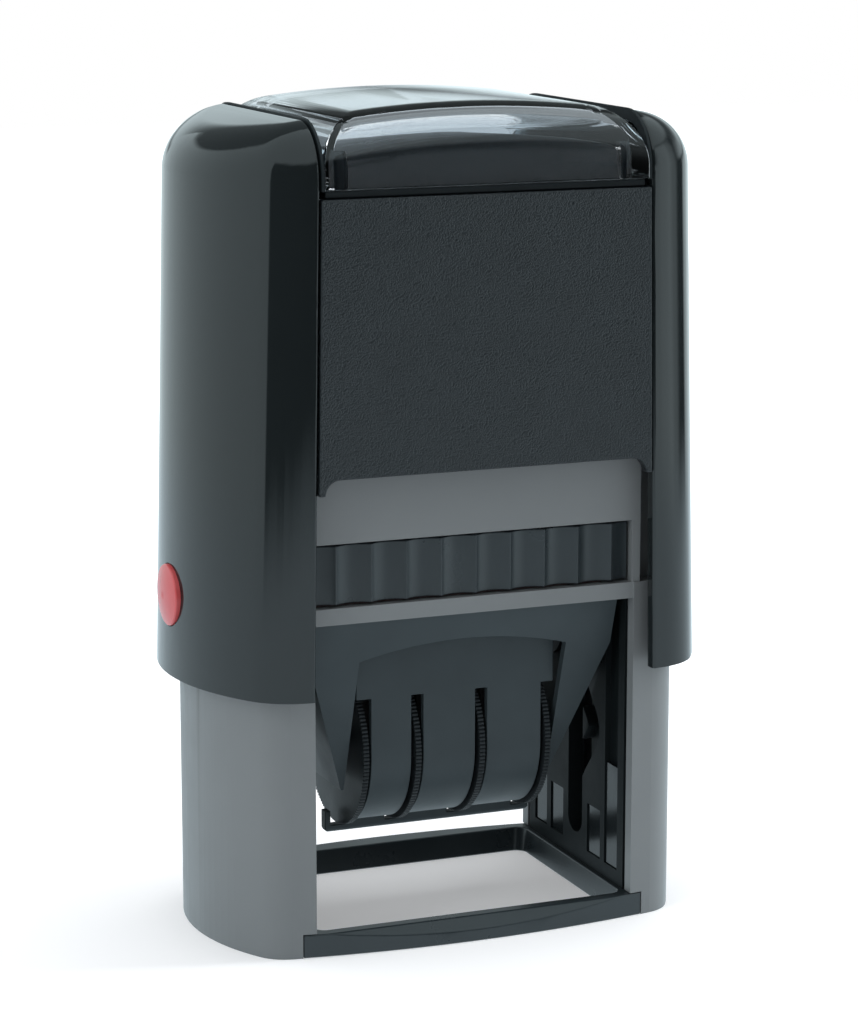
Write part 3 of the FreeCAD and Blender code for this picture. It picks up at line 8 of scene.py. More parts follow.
import bmesh
import bpy
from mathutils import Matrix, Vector


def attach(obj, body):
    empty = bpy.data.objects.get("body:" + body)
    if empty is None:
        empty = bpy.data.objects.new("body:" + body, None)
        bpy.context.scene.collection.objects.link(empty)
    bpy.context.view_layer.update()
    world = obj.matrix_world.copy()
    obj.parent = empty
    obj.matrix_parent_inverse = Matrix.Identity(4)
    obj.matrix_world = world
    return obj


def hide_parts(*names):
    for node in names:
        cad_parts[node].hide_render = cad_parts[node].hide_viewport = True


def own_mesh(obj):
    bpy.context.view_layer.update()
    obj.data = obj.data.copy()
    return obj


LOG = logging.getLogger("date_stamp")
MM = 0.001
WHITE = (1.0, 1.0, 1.0)

Pair = tuple[float, float]
Point = tuple[float, float, float]
Colour = tuple[float, float, float]

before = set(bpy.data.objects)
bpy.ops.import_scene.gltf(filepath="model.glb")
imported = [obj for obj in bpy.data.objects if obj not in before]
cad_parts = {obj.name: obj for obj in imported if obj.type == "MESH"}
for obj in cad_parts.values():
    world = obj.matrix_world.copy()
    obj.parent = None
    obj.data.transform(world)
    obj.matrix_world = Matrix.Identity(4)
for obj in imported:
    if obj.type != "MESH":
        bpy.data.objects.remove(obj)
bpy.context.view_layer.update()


class Body(Enum):
    """The bodies that the pieces ride on."""

    BASE = "base"
    CAP = "cap"
    WINDOW = "window"
    PAD = "pad"
    CARRIAGE = "carriage"
    LOCK_LEFT = "lock_left"
    LOCK_RIGHT = "lock_right"
    WHEEL_1 = "wheel_1"
    WHEEL_2 = "wheel_2"
    WHEEL_3 = "wheel_3"
    WHEEL_4 = "wheel_4"


class Slot(Enum):
    """The record's material slots."""

    SHELL = "shell_black"
    PANEL = "panel_black"
    BASE = "base_grey"
    INNER = "inner_black"
    GUIDE = "guide_black"
    CARRIAGE = "carriage_black"
    WHEEL = "wheel_black"
    BAND = "band_rubber"
    TYPE = "type_rubber"
    FELT = "ink_felt"
    WINDOW = "clear_window"
    BUTTON = "button_red"
    STEEL = "steel"


class Ease(Enum):
    """How a range of values is mapped onto another."""

    STRAIGHT = "LINEAR"
    SOFT = "SMOOTHSTEP"


def node_at(tree: bpy.types.NodeTree, kind: str, **values: object) -> bpy.types.Node:
    """Add a shader node and set its inputs.

    Args:
        tree: the node tree.
        kind: the node type.
        values: input names, with spaces as underscores, and their values.

    Returns:
        The new node.
    """
    node = tree.nodes.new(kind)
    for name, value in values.items():
        node.inputs[name.replace("_", " ")].default_value = value
    return node


def span_at(
    tree: bpy.types.NodeTree,
    value: bpy.types.NodeSocket,
    reach: Pair,
    levels: Pair,
    ease: Ease = Ease.STRAIGHT,
) -> bpy.types.NodeSocket:
    """Map one range of values onto another.

    Args:
        tree: the node tree.
        value: the socket that is mapped.
        reach: the range that it is mapped from.
        levels: the range that it is mapped to.
        ease: how it is mapped.

    Returns:
        The mapped value.
    """
    span = node_at(
        tree,
        "ShaderNodeMapRange",
        From_Min=reach[0],
        From_Max=reach[1],
        To_Min=levels[0],
        To_Max=levels[1],
    )
    span.interpolation_type = ease.value
    tree.links.new(value, span.inputs["Value"])
    return span.outputs["Result"]


def noise_at(
    tree: bpy.types.NodeTree,
    spot: bpy.types.NodeSocket,
    scale: float,
    layers: Pair = (2.0, 0.5),
) -> bpy.types.NodeSocket:
    """Add a noise pattern.

    Args:
        tree: the node tree.
        spot: the coordinates that it follows.
        scale: its fineness, per metre.
        layers: how many finer layers it has, and how strong they are.

    Returns:
        The noise, from 0 to 1.
    """
    noise = node_at(
        tree, "ShaderNodeTexNoise", Scale=scale, Detail=layers[0], Roughness=layers[1]
    )
    tree.links.new(spot, noise.inputs["Vector"])
    return noise.outputs["Fac"]


def mix_at(
    tree: bpy.types.NodeTree,
    share: bpy.types.NodeSocket,
    first: bpy.types.NodeSocket,
    second: bpy.types.NodeSocket,
) -> bpy.types.NodeSocket:
    """Mix two shaders.

    Args:
        tree: the node tree.
        share: the share of the second shader.
        first: the shader where the share is 0.
        second: the shader where the share is 1.

    Returns:
        The mixed shader.
    """
    mix = tree.nodes.new("ShaderNodeMixShader")
    tree.links.new(share, mix.inputs["Fac"])
    tree.links.new(first, mix.inputs[1])
    tree.links.new(second, mix.inputs[2])
    return mix.outputs["Shader"]


def math_at(
    tree: bpy.types.NodeTree,
    operation: str,
    *given: bpy.types.NodeSocket | float,
) -> bpy.types.NodeSocket:
    """Add one math node.

    Args:
        tree: the node tree.
        operation: what it works out.
        given: its sockets or numbers.

    Returns:
        Its output.
    """
    node = tree.nodes.new("ShaderNodeMath")
    node.operation = operation
    for socket, value in zip(node.inputs, given):
        if isinstance(value, float):
            socket.default_value = value
        else:
            tree.links.new(value, socket)
    return node.outputs["Value"]


@dataclass(frozen=True)
class Finish:
    """A finish, whose node material is made once and then shared."""

    name: str

    def material(self) -> bpy.types.Material:
        """Give the node material of this finish, making it where there is none yet.

        Returns:
            The material.
        """
        found = bpy.data.materials.get(self.name)
        if found:
            return found
        made = bpy.data.materials.new(self.name)
        made.use_nodes = True
        tree = made.node_tree
        tree.nodes.clear()
        out = tree.nodes.new("ShaderNodeOutputMaterial")
        shader = tree.nodes.new("ShaderNodeBsdfPrincipled")
        tree.links.new(shader.outputs["BSDF"], out.inputs["Surface"])
        spot = tree.nodes.new("ShaderNodeTexCoord").outputs["Object"]
        self.fill(tree, spot, shader)
        return made

    def fill(
        self, tree: bpy.types.NodeTree, spot: bpy.types.NodeSocket, shader: bpy.types.Node
    ) -> None:
        """Set up the shader, which each kind of finish does in its own way.

        Args:
            tree: the material's node tree.
            spot: the object coordinates.
            shader: the shader.
        """
        raise NotImplementedError


@dataclass(frozen=True)
class Moulding(Finish):
    """A moulded plastic or rubber: colour with faint clouds, grain and gloss.

    Scales are per metre and heights are in millimetres.
    """

    colour: Colour
    roughness: float = 0.35
    smudge: float = 0.05
    smudge_scale: float = 140.0
    smudge_layers: Pair = (4.0, 0.6)
    cloud: float = 0.08
    cloud_scale: float = 60.0
    cloud_layers: Pair = (3.0, 0.55)
    grain_scale: float = 1600.0
    grain_height: float = 0.01
    leather_scale: float = 0.0
    leather_height: float = 0.0
    leather_round: float = 0.6
    specular: float = 0.5
    middle: Pair = (0.3, 0.7)
    least_roughness: float = 0.02

    def fill(
        self, tree: bpy.types.NodeTree, spot: bpy.types.NodeSocket, shader: bpy.types.Node
    ) -> None:
        """Give the shader its clouded colour, smudged gloss and grain.

        Args:
            tree: the material's node tree.
            spot: the object coordinates.
            shader: the shader.
        """
        shader.inputs["Specular IOR Level"].default_value = self.specular
        tree.links.new(self._clouds(tree, spot), shader.inputs["Base Color"])
        smudges = noise_at(tree, spot, self.smudge_scale, self.smudge_layers)
        gloss = (
            max(self.least_roughness, self.roughness - self.smudge),
            self.roughness + self.smudge,
        )
        tree.links.new(
            span_at(tree, smudges, self.middle, gloss), shader.inputs["Roughness"]
        )
        tree.links.new(self._relief(tree, spot), shader.inputs["Normal"])

    def _clouds(
        self, tree: bpy.types.NodeTree, spot: bpy.types.NodeSocket
    ) -> bpy.types.NodeSocket:
        """Cloud the colour a little, as in any moulding.

        Args:
            tree: the material's node tree.
            spot: the object coordinates.

        Returns:
            The clouded colour.
        """
        clouds = noise_at(tree, spot, self.cloud_scale, self.cloud_layers)
        ramp = tree.nodes.new("ShaderNodeValToRGB")
        for stop, place, way in zip(ramp.color_ramp.elements, self.middle, (-1, 1)):
            stop.position = place
            stop.color = (*(min(1.0, c * (1 + way * self.cloud)) for c in self.colour), 1)
        tree.links.new(clouds, ramp.inputs["Fac"])
        return ramp.outputs["Color"]

    def _relief(
        self, tree: bpy.types.NodeTree, spot: bpy.types.NodeSocket
    ) -> bpy.types.NodeSocket:
        """Raise the fine grain and, where there is one, the leather grain over it.

        Args:
            tree: the material's node tree.
            spot: the object coordinates.

        Returns:
            The normal.
        """
        bump = node_at(
            tree, "ShaderNodeBump", Strength=1.0, Distance=self.grain_height * MM
        )
        tree.links.new(noise_at(tree, spot, self.grain_scale), bump.inputs["Height"])
        if not self.leather_height:
            return bump.outputs["Normal"]
        cells = tree.nodes.new("ShaderNodeTexVoronoi")
        cells.feature = "SMOOTH_F1"
        cells.inputs["Scale"].default_value = self.leather_scale
        cells.inputs["Smoothness"].default_value = self.leather_round
        tree.links.new(spot, cells.inputs["Vector"])
        leather = node_at(
            tree, "ShaderNodeBump", Strength=1.0, Distance=self.leather_height * MM
        )
        leather.invert = True
        tree.links.new(cells.outputs["Distance"], leather.inputs["Height"])
        tree.links.new(bump.outputs["Normal"], leather.inputs["Normal"])
        return leather.outputs["Normal"]


@dataclass(frozen=True)
class DrawnSteel(Finish):
    """Bright steel whose gloss varies finely."""

    colour: Colour = (0.55, 0.56, 0.58)
    gloss: Pair = (0.20, 0.40)
    line_scale: float = 1400.0

    def fill(
        self, tree: bpy.types.NodeTree, spot: bpy.types.NodeSocket, shader: bpy.types.Node
    ) -> None:
        """Make the shader metal and vary its gloss finely.

        Args:
            tree: the material's node tree.
            spot: the object coordinates.
            shader: the shader.
        """
        shader.inputs["Metallic"].default_value = 1.0
        shader.inputs["Base Color"].default_value = (*self.colour, 1)
        lines = noise_at(tree, spot, self.line_scale)
        tree.links.new(
            span_at(tree, lines, (0.0, 1.0), self.gloss), shader.inputs["Roughness"]
        )


@dataclass(frozen=True)
class ClearPlastic(Finish):
    """Clear moulded plastic with a faint haze."""

    tint: Colour = (0.66, 0.71, 0.745)
    refraction: float = 1.49
    haze: float = 0.03
    haze_scale: float = 90.0
    haze_layers: Pair = (3.0, 0.5)

    def fill(
        self, tree: bpy.types.NodeTree, spot: bpy.types.NodeSocket, shader: bpy.types.Node
    ) -> None:
        """Make the shader clear and haze it.

        Args:
            tree: the material's node tree.
            spot: the object coordinates.
            shader: the shader.
        """
        shader.inputs["Transmission Weight"].default_value = 1.0
        shader.inputs["IOR"].default_value = self.refraction
        shader.inputs["Base Color"].default_value = (*self.tint, 1)
        haze = noise_at(tree, spot, self.haze_scale, self.haze_layers)
        tree.links.new(
            span_at(tree, haze, (0.0, 1.0), (0.0, self.haze)), shader.inputs["Roughness"]
        )


GLOSS_SHELL = Moulding(
    "gloss_shell",
    colour=(0.0085, 0.0115, 0.0125),
    roughness=0.055,
    smudge=0.015,
    cloud_scale=30.0,
    grain_scale=300.0,
    grain_height=0.002,
)
GRAINED_PANEL = Moulding(
    "grained_panel",
    colour=(0.0076, 0.0106, 0.0132),
    roughness=0.38,
    smudge=0.04,
    cloud=0.1,
    cloud_scale=200.0,
    grain_scale=2500.0,
    leather_scale=4800.0,
    leather_height=0.1,
)
SATIN_BASE = Moulding(
    "satin_base",
    colour=(0.160, 0.177, 0.185),
    roughness=0.4,
    smudge=0.04,
    cloud=0.03,
    cloud_scale=45.0,
    grain_scale=2200.0,
    grain_height=0.006,
    specular=0.36,
)
SATIN_INNER = Moulding(
    "satin_inner",
    colour=(0.018, 0.025, 0.029),
    roughness=0.3,
    grain_height=0.008,
)
DULL_INNER = Moulding(
    "dull_inner",
    colour=(0.011, 0.015, 0.017),
    roughness=0.5,
    specular=0.15,
)
SATIN_GUIDE = Moulding(
    "satin_guide",
    colour=(0.008, 0.011, 0.0122),
    roughness=0.5,
    grain_height=0.008,
    specular=0.06,
)
CARD_BLACK = Moulding(
    "card_black",
    colour=(0.012, 0.017, 0.021),
    roughness=0.3,
    smudge=0.04,
    grain_scale=900.0,
    grain_height=0.003,
    specular=0.1,
)
GLOSS_PANE = Moulding(
    "gloss_pane",
    colour=(0.011, 0.015, 0.017),
    roughness=0.16,
    smudge=0.04,
    grain_scale=900.0,
    grain_height=0.003,
    specular=0.22,
)
SATIN_CARRIAGE = Moulding(
    "satin_carriage",
    colour=(0.033, 0.045, 0.051),
    roughness=0.45,
    smudge=0.06,
    cloud=0.1,
    cloud_scale=80.0,
    grain_scale=1800.0,
    specular=0.28,
)
TOOTHED_WHEEL = Moulding(
    "toothed_wheel",
    colour=(0.015, 0.019, 0.022),
    roughness=0.4,
    cloud=0.1,
    cloud_scale=90.0,
    specular=0.25,
)
BAND_RUBBER = Moulding(
    "dull_band",
    colour=(0.02, 0.02, 0.021),
    roughness=0.6,
    cloud=0.15,
    cloud_scale=160.0,
    grain_scale=2400.0,
    grain_height=0.02,
)
TYPE_RUBBER = Moulding(
    "inked_type",
    colour=(0.06, 0.02, 0.02),
    roughness=0.55,
    cloud=0.2,
    cloud_scale=220.0,
    grain_scale=2400.0,
    grain_height=0.02,
)
INK_FELT = Moulding(
    "inked_felt",
    colour=(0.012, 0.012, 0.04),
    roughness=0.85,
    cloud=0.3,
    cloud_scale=500.0,
    grain_scale=1500.0,
    grain_height=0.15,
)
RED_BUTTON = Moulding(
    "red_button",
    colour=(0.50, 0.075, 0.08),
    roughness=0.22,
    smudge=0.03,
    cloud=0.04,
    cloud_scale=120.0,
    grain_scale=1200.0,
    grain_height=0.004,
)
CLEAR_WINDOW = ClearPlastic("clear_plastic")
BRIGHT_STEEL = DrawnSteel("drawn_steel")


@dataclass(frozen=True)
class Squeeze:
    """How a spring should close as its joint reaches its limit, in millimetres; apply does not
    close it.
    """

    joint: str = "cap_press"
    floor: float = 57.0
    keep: float = 0.27

    def apply(self, piece: bpy.types.Object) -> None:
        """Give the spring a mesh of its own.

        Args:
            piece: the spring.
        """
        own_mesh(piece)


@dataclass(frozen=True)
class BowedWall:
    """The bowed, leaning wall of a side shell, whose true normals shade it evenly.

    In plan the wall is three tangent arcs: its side, its front and the corner between
    them. Lengths are in millimetres.
    """

    low: float = 35.3
    high: float = 111.6
    half_width: float = 36.65
    half_depth: float = 23.5
    draw: float = 2.05
    draw_front: float = 0.15
    side_arc: float = 32.0
    front_arc: float = 153.0
    corner: float = 8.5
    reach: float = 0.03
    turn: float = math.radians(14)

    def _outward(self, place: Vector) -> tuple[float, Vector]:
        """Find the distance to the wall and the wall's normal at a place.

        Args:
            place: the place, in millimetres, with x and y taken as positive.

        Returns:
            The distance and the normal.
        """
        # The arcs' centres at this height: the side's on x, the front's on -y
        rise = self.high - self.low
        share = (place.z - self.low) / rise
        side = self.half_width - self.draw * share - self.side_arc
        front = self.front_arc - self.half_depth + self.draw_front * share
        # The corner's centre, a known distance from each of the two
        near, far = self.side_arc - self.corner, self.front_arc - self.corner
        span = math.hypot(side, front)
        along = (near**2 - far**2 + span**2) / (2 * span)
        off = math.sqrt(near**2 - along**2)
        ux, uy = -side / span, -front / span
        middle = Vector((side + along * ux - off * uy, along * uy + off * ux, 0))
        # The arc that this place lies on
        flat = Vector((place.x, place.y, 0))
        side_turn = math.atan2(middle.y, middle.x - side)
        front_turn = math.atan2(middle.y + front, middle.x)
        if math.atan2(flat.y, flat.x - side) < side_turn:
            centre, radius = Vector((side, 0, 0)), self.side_arc
        elif math.atan2(flat.y + front, flat.x) > front_turn:
            centre, radius = Vector((0, -front, 0)), self.front_arc
        else:
            centre, radius = middle, self.corner
        away = flat - centre
        normal = away.normalized()
        normal.z = (self.draw * normal.x + self.draw_front * normal.y) / rise
        return abs(away.length - radius), normal.normalized()

    def shade(self, mesh: bpy.types.Mesh) -> None:
        """Give the wall's corners its true normals and leave all others as they are.

        Args:
            mesh: the mesh of a side shell.
        """
        normals = [Vector((0, 0, 0)) for _ in mesh.loops]
        for face in mesh.polygons:
            for at in face.loop_indices:
                place = mesh.vertices[mesh.loops[at].vertex_index].co / MM
                if place.z < self.low - self.reach:
                    continue
                ways = (math.copysign(1, place.x), math.copysign(1, place.y), 1)
                gap, normal = self._outward(Vector(p * w for p, w in zip(place, ways)))
                normal = Vector(n * w for n, w in zip(normal, ways))
                if gap < self.reach and normal.angle(face.normal) < self.turn:
                    normals[at] = normal
        mesh.normals_split_custom_set(normals)


@dataclass
class Dressing:
    """How one construction node is finished: its finish and its edge rounding.

    Lengths are in millimetres.
    """

    node: str
    body: Body
    slot: Slot
    finish: Finish
    edge: float = 0.2
    wall: BowedWall | None = None
    squeeze: Squeeze | None = None
    edge_segments: int = 2
    merge: float = 0.002
    flat_turn: float = math.radians(0.6)
    sharp_turn: float = math.radians(28)

    def build(self) -> bpy.types.Object:
        """Make a merged, edge-rounded copy of the node and put it in the node's place.

        Returns:
            The new piece.
        """
        piece = bpy.data.objects.new(f"{self.node}_dressed", self._mesh())
        bpy.context.scene.collection.objects.link(piece)
        if self.edge:
            self._round(piece)
        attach(piece, self.body.value)
        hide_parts(self.node)
        if self.squeeze:
            self.squeeze.apply(piece)
        LOG.info("dressed %s", self.node)
        return piece

    def _mesh(self) -> bpy.types.Mesh:
        """Copy the node's mesh, merged and with its flat faces whole.

        Returns:
            The mesh, with its finish and smooth shading.
        """
        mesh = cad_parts[self.node].data.copy()
        mesh.name = f"{self.node}_dressed"
        mesh.materials.clear()
        mesh.materials.append(self.finish.material())
        work = bmesh.new()
        work.from_mesh(mesh)
        bmesh.ops.remove_doubles(work, verts=work.verts, dist=self.merge * MM)
        bmesh.ops.dissolve_limit(
            work,
            angle_limit=self.flat_turn,
            use_dissolve_boundaries=False,
            verts=work.verts,
            edges=work.edges,
        )
        work.to_mesh(mesh)
        work.free()
        mesh.shade_smooth()
        mesh.set_sharp_from_angle(angle=self.sharp_turn)
        if self.wall:
            self.wall.shade(mesh)
        return mesh

    def _round(self, piece: bpy.types.Object) -> None:
        """Round the piece's sharp edges.

        Args:
            piece: the piece.
        """
        bevel = piece.modifiers.new("edges", "BEVEL")
        bevel.width = self.edge * MM
        bevel.segments = self.edge_segments
        bevel.limit_method = "ANGLE"
        bevel.angle_limit = self.sharp_turn
        bevel.harden_normals = True
        bevel.use_clamp_overlap = True


@dataclass
class Addition:
    """A piece that stands beside the construction nodes: where it rides and its finish."""

    name: str
    body: Body
    slot: Slot
    finish: Finish
    sharp_turn: float = math.radians(30)

    def add(self, work: bmesh.types.BMesh) -> None:
        """Turn a bmesh into this piece.

        Args:
            work: the shape, which is freed.
        """
        bmesh.ops.recalc_face_normals(work, faces=work.faces)
        mesh = bpy.data.meshes.new(self.name)
        work.to_mesh(mesh)
        work.free()
        mesh.materials.append(self.finish.material())
        mesh.shade_smooth()
        mesh.set_sharp_from_angle(angle=self.sharp_turn)
        piece = bpy.data.objects.new(self.name, mesh)
        bpy.context.scene.collection.objects.link(piece)
        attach(piece, self.body.value)
        LOG.info("added %s", self.name)


def moved_verts(made: list) -> list[bmesh.types.BMVert]:
    """Pick the vertices out of what an extrusion made.

    Args:
        made: the extrusion's new geometry.

    Returns:
        The vertices.
    """
    return [item for item in made if isinstance(item, bmesh.types.BMVert)]


@dataclass
class GuidePanes:
    """Glossy panes that close the guide plates' windows and line their sunk panels.

    Lengths are in millimetres. Near and far are measured from the middle of the base.
    """

    face: float = 22.6
    sink: float = 0.2
    thick: float = 0.3
    window_across: Pair = (3.9, 8.3)
    window_rises: tuple[Pair, ...] = ((5.1, 12.2), (32.9, 41.6))
    rail_across: Pair = (9.7, 13.5)
    rail_rises: tuple[Pair, ...] = ((5.3, 19.5),)

    def build(self) -> None:
        """Make the panes of both plates."""
        for side, hand in (("left", -1), ("right", 1)):
            self._row(f"plate_panes_{side}", hand, self.window_across, self.window_rises)
            self._row(f"rail_panes_{side}", hand, self.rail_across, self.rail_rises)

    def _row(self, name: str, hand: int, across: Pair, rises: tuple[Pair, ...]) -> None:
        """Make one piece of panes, which lie at the front and at the back.

        Args:
            name: the piece's name.
            hand: -1 for the left plate, 1 for the right.
            across: the panes' near and far edge.
            rises: the lower and upper edge of each.
        """
        work = bmesh.new()
        for end in (-1, 1):
            for rise in rises:
                self._pane(work, hand, end, across, rise)
        Addition(name, Body.BASE, Slot.GUIDE, GLOSS_PANE).add(work)

    def _pane(
        self, work: bmesh.types.BMesh, hand: int, end: int, across: Pair, rise: Pair
    ) -> None:
        """Add one pane.

        Args:
            work: the bmesh that it goes into.
            hand: -1 for the left plate, 1 for the right.
            end: -1 for the front end, 1 for the back.
            across: its near and far edge.
            rise: its lower and upper edge.
        """
        near, far = across
        low, high = rise
        made = bmesh.ops.create_cube(work, size=1.0)["verts"]
        size = Vector((self.thick, far - near, high - low)) * MM
        bmesh.ops.scale(work, vec=size, verts=made)
        level = hand * (self.face + self.sink + self.thick / 2)
        middle = Vector((level, end * (near + far) / 2, (low + high) / 2))
        bmesh.ops.translate(work, vec=middle * MM, verts=made)


@dataclass
class SeamShadeStrips:
    """Dark strips in the seams between the clear window and the side shells: partly the
    window's dark side, partly painted shade for the gap of each seam.

    Lengths are in millimetres.
    """

    inner: float = 22.26
    outer: float = 22.6
    front: float = 21.84
    low: float = 100.3
    high: float = 108.94
    corner: float = 7.3
    segments: int = 14
    deep: float = 1.5

    def build(self) -> None:
        """Make both strips."""
        for side, hand in (("left", -1), ("right", 1)):
            work = bmesh.new()
            places = (
                (-self.front, self.low),
                (self.front, self.low),
                (self.front, self.high),
                (-self.front, self.high),
            )
            corners = [work.verts.new(Vector((hand * self.inner, *at)) * MM) for at in places]
            work.faces.new(corners)
            bmesh.ops.bevel(
                work,
                geom=corners[2:],
                offset=self.corner * MM,
                offset_type="OFFSET",
                affect="VERTICES",
                segments=self.segments,
                profile=0.5,
                material=-1,
            )
            self._hollow(work)
            made = bmesh.ops.extrude_face_region(work, geom=work.faces[:])["geom"]
            away = Vector((hand * (self.outer - self.inner) * MM, 0, 0))
            bmesh.ops.translate(work, vec=away, verts=moved_verts(made))
            # The strip's dark finish is partly painted shade that darkens the seam's gap, and
            # partly the window's dark side.
            Addition(f"seam_shade_strip_{side}", Body.CAP, Slot.INNER, DULL_INNER).add(work)

    def _hollow(self, work: bmesh.types.BMesh) -> None:
        """Leave only the rim of the strip's outline.

        Args:
            work: the bmesh that holds the outline.
        """
        rim = bmesh.ops.inset_region(
            work,
            faces=work.faces[:],
            thickness=self.deep * MM,
            use_even_offset=True,
            use_boundary=True,
        )["faces"]
        inside = [face for face in work.faces if face not in rim]
        bmesh.ops.delete(work, geom=inside, context="FACES")


@dataclass
class IndexBlock:
    """The dark arched block under the clear window that the index card lies on.

    Lengths are in millimetres.
    """

    half_width: float = 20.2
    half_depth: float = 18.4
    low: float = 97.45
    high: float = 106.2
    arch: float = 96.0
    segments: int = 24
    edge: float = 0.7
    edge_segments: int = 3
    edge_turn: float = math.radians(60)

    def build(self) -> None:
        """Make the block."""
        turn = math.asin(self.half_width / self.arch)
        drop = self.arch * (1 - math.cos(turn))
        work = bmesh.new()
        first = work.verts.new(
            Vector((-self.half_width, -self.half_depth, self.high - drop)) * MM
        )
        bmesh.ops.spin(
            work,
            geom=[first],
            cent=Vector((0, -self.half_depth, self.high - self.arch)) * MM,
            axis=(0, 1, 0),
            angle=2 * turn,
            steps=self.segments,
        )
        made = bmesh.ops.extrude_edge_only(work, edges=work.edges[:])["geom"]
        for vert in moved_verts(made):
            vert.co.z = self.low * MM
        made = bmesh.ops.extrude_face_region(work, geom=work.faces[:])["geom"]
        away = (0, 2 * self.half_depth * MM, 0)
        bmesh.ops.translate(work, vec=away, verts=moved_verts(made))
        self._round(work)
        Addition("index_block", Body.CAP, Slot.INNER, CARD_BLACK).add(work)

    def _round(self, work: bmesh.types.BMesh) -> None:
        """Round the block's rims.

        Args:
            work: the bmesh that holds the block.
        """
        bmesh.ops.recalc_face_normals(work, faces=work.faces)
        rims = [e for e in work.edges if e.is_manifold and e.calc_face_angle() > self.edge_turn]
        bmesh.ops.bevel(
            work,
            geom=rims,
            offset=self.edge * MM,
            offset_type="OFFSET",
            affect="EDGES",
            segments=self.edge_segments,
            profile=0.5,
            material=-1,
        )


@dataclass(frozen=True)
class Bay:
    """A bright bay of the studio that glossy parts mirror, in degrees round the object."""

    start: float
    end: float
    glow: float
    blur: float = 3.0
    top: float = 31.0
    top_blur: float = 5.0


@dataclass(frozen=True)
class SoftBox:
    """A soft lamp: its place and its width and height in metres, its power in watts."""

    name: str
    place: Point
    size: Pair
    power: float

    def hang(self, target: Vector) -> None:
        """Hang the lamp.

        Args:
            target: the point that it faces.
        """
        data = bpy.data.lights.new(self.name, "AREA")
        data.shape = "RECTANGLE"
        data.size, data.size_y = self.size
        data.energy = self.power
        lamp = bpy.data.objects.new(self.name, data)
        lamp.location = self.place
        lamp.rotation_euler = (target - Vector(self.place)).to_track_quat("-Z", "Y").to_euler()
        lamp.visible_glossy = False
        bpy.context.scene.collection.objects.link(lamp)


@dataclass
class Floor:
    """White paper that keeps the object's shadow and fades to pure white, in metres.

    Glossy parts mirror it as an even light, which clears further out so that its edge
    never shows in them.
    """

    half: Pair = (0.8, 0.95)
    centre: float = 0.35
    drop: float = 0.00002
    paper: Colour = (0.82, 0.845, 0.87)
    glow: Pair = (0.2, 1.0)
    glow_reach: Pair = (0.07, 0.3)
    mirrored: Colour = (0.80, 0.96, 1.04)
    mirrored_glow: float = 1.05
    mirrored_reach: Pair = (0.24, 0.5)

    def build(self) -> None:
        """Lay the floor."""
        mesh = bpy.data.meshes.new("studio_floor")
        work = bmesh.new()
        bmesh.ops.create_grid(work, x_segments=1, y_segments=1, size=1.0)
        bmesh.ops.scale(work, verts=work.verts, vec=(*self.half, 1))
        bmesh.ops.translate(work, verts=work.verts, vec=(0, self.centre, -self.drop))
        work.to_mesh(mesh)
        work.free()
        floor = bpy.data.objects.new("studio_floor", mesh)
        bpy.context.scene.collection.objects.link(floor)
        mesh.materials.append(self._material())

    def _material(self) -> bpy.types.Material:
        """Make the paper's material.

        Returns:
            The material.
        """
        made = bpy.data.materials.new("studio_floor")
        made.use_nodes = True
        tree = made.node_tree
        tree.nodes.clear()
        out = tree.nodes.new("ShaderNodeOutputMaterial")
        away = tree.nodes.new("ShaderNodeVectorMath")
        away.operation = "LENGTH"
        spot = tree.nodes.new("ShaderNodeTexCoord").outputs["Object"]
        tree.links.new(spot, away.inputs[0])
        far = away.outputs["Value"]
        paper = node_at(tree, "ShaderNodeBsdfDiffuse", Color=(*self.paper, 1)).outputs["BSDF"]
        path = tree.nodes.new("ShaderNodeLightPath")
        bounced = mix_at(
            tree, path.outputs["Is Glossy Ray"], paper, self._mirrored(tree, far)
        )
        seen = mix_at(
            tree, path.outputs["Is Camera Ray"], bounced, self._glowing(tree, far, paper)
        )
        tree.links.new(seen, out.inputs["Surface"])
        return made

    def _glowing(
        self,
        tree: bpy.types.NodeTree,
        far: bpy.types.NodeSocket,
        paper: bpy.types.NodeSocket,
    ) -> bpy.types.NodeSocket:
        """Add the glow that turns the paper white away from the object.

        Args:
            tree: the material's node tree.
            far: the distance from the object.
            paper: the paper's shader.

        Returns:
            The glowing shader.
        """
        glow = tree.nodes.new("ShaderNodeEmission")
        fade = span_at(tree, far, self.glow_reach, self.glow, Ease.SOFT)
        tree.links.new(fade, glow.inputs["Strength"])
        both = tree.nodes.new("ShaderNodeAddShader")
        tree.links.new(paper, both.inputs[0])
        tree.links.new(glow.outputs["Emission"], both.inputs[1])
        return both.outputs["Shader"]

    def _mirrored(
        self, tree: bpy.types.NodeTree, far: bpy.types.NodeSocket
    ) -> bpy.types.NodeSocket:
        """Make the even light that glossy parts mirror.

        Args:
            tree: the material's node tree.
            far: the distance from the object.

        Returns:
            The shader.
        """
        image = node_at(
            tree, "ShaderNodeEmission", Color=(*self.mirrored, 1), Strength=self.mirrored_glow
        )
        clear = tree.nodes.new("ShaderNodeBsdfTransparent")
        thin = span_at(tree, far, self.mirrored_reach, (0.0, 1.0), Ease.SOFT)
        return mix_at(tree, thin, image.outputs["Emission"], clear.outputs["BSDF"])


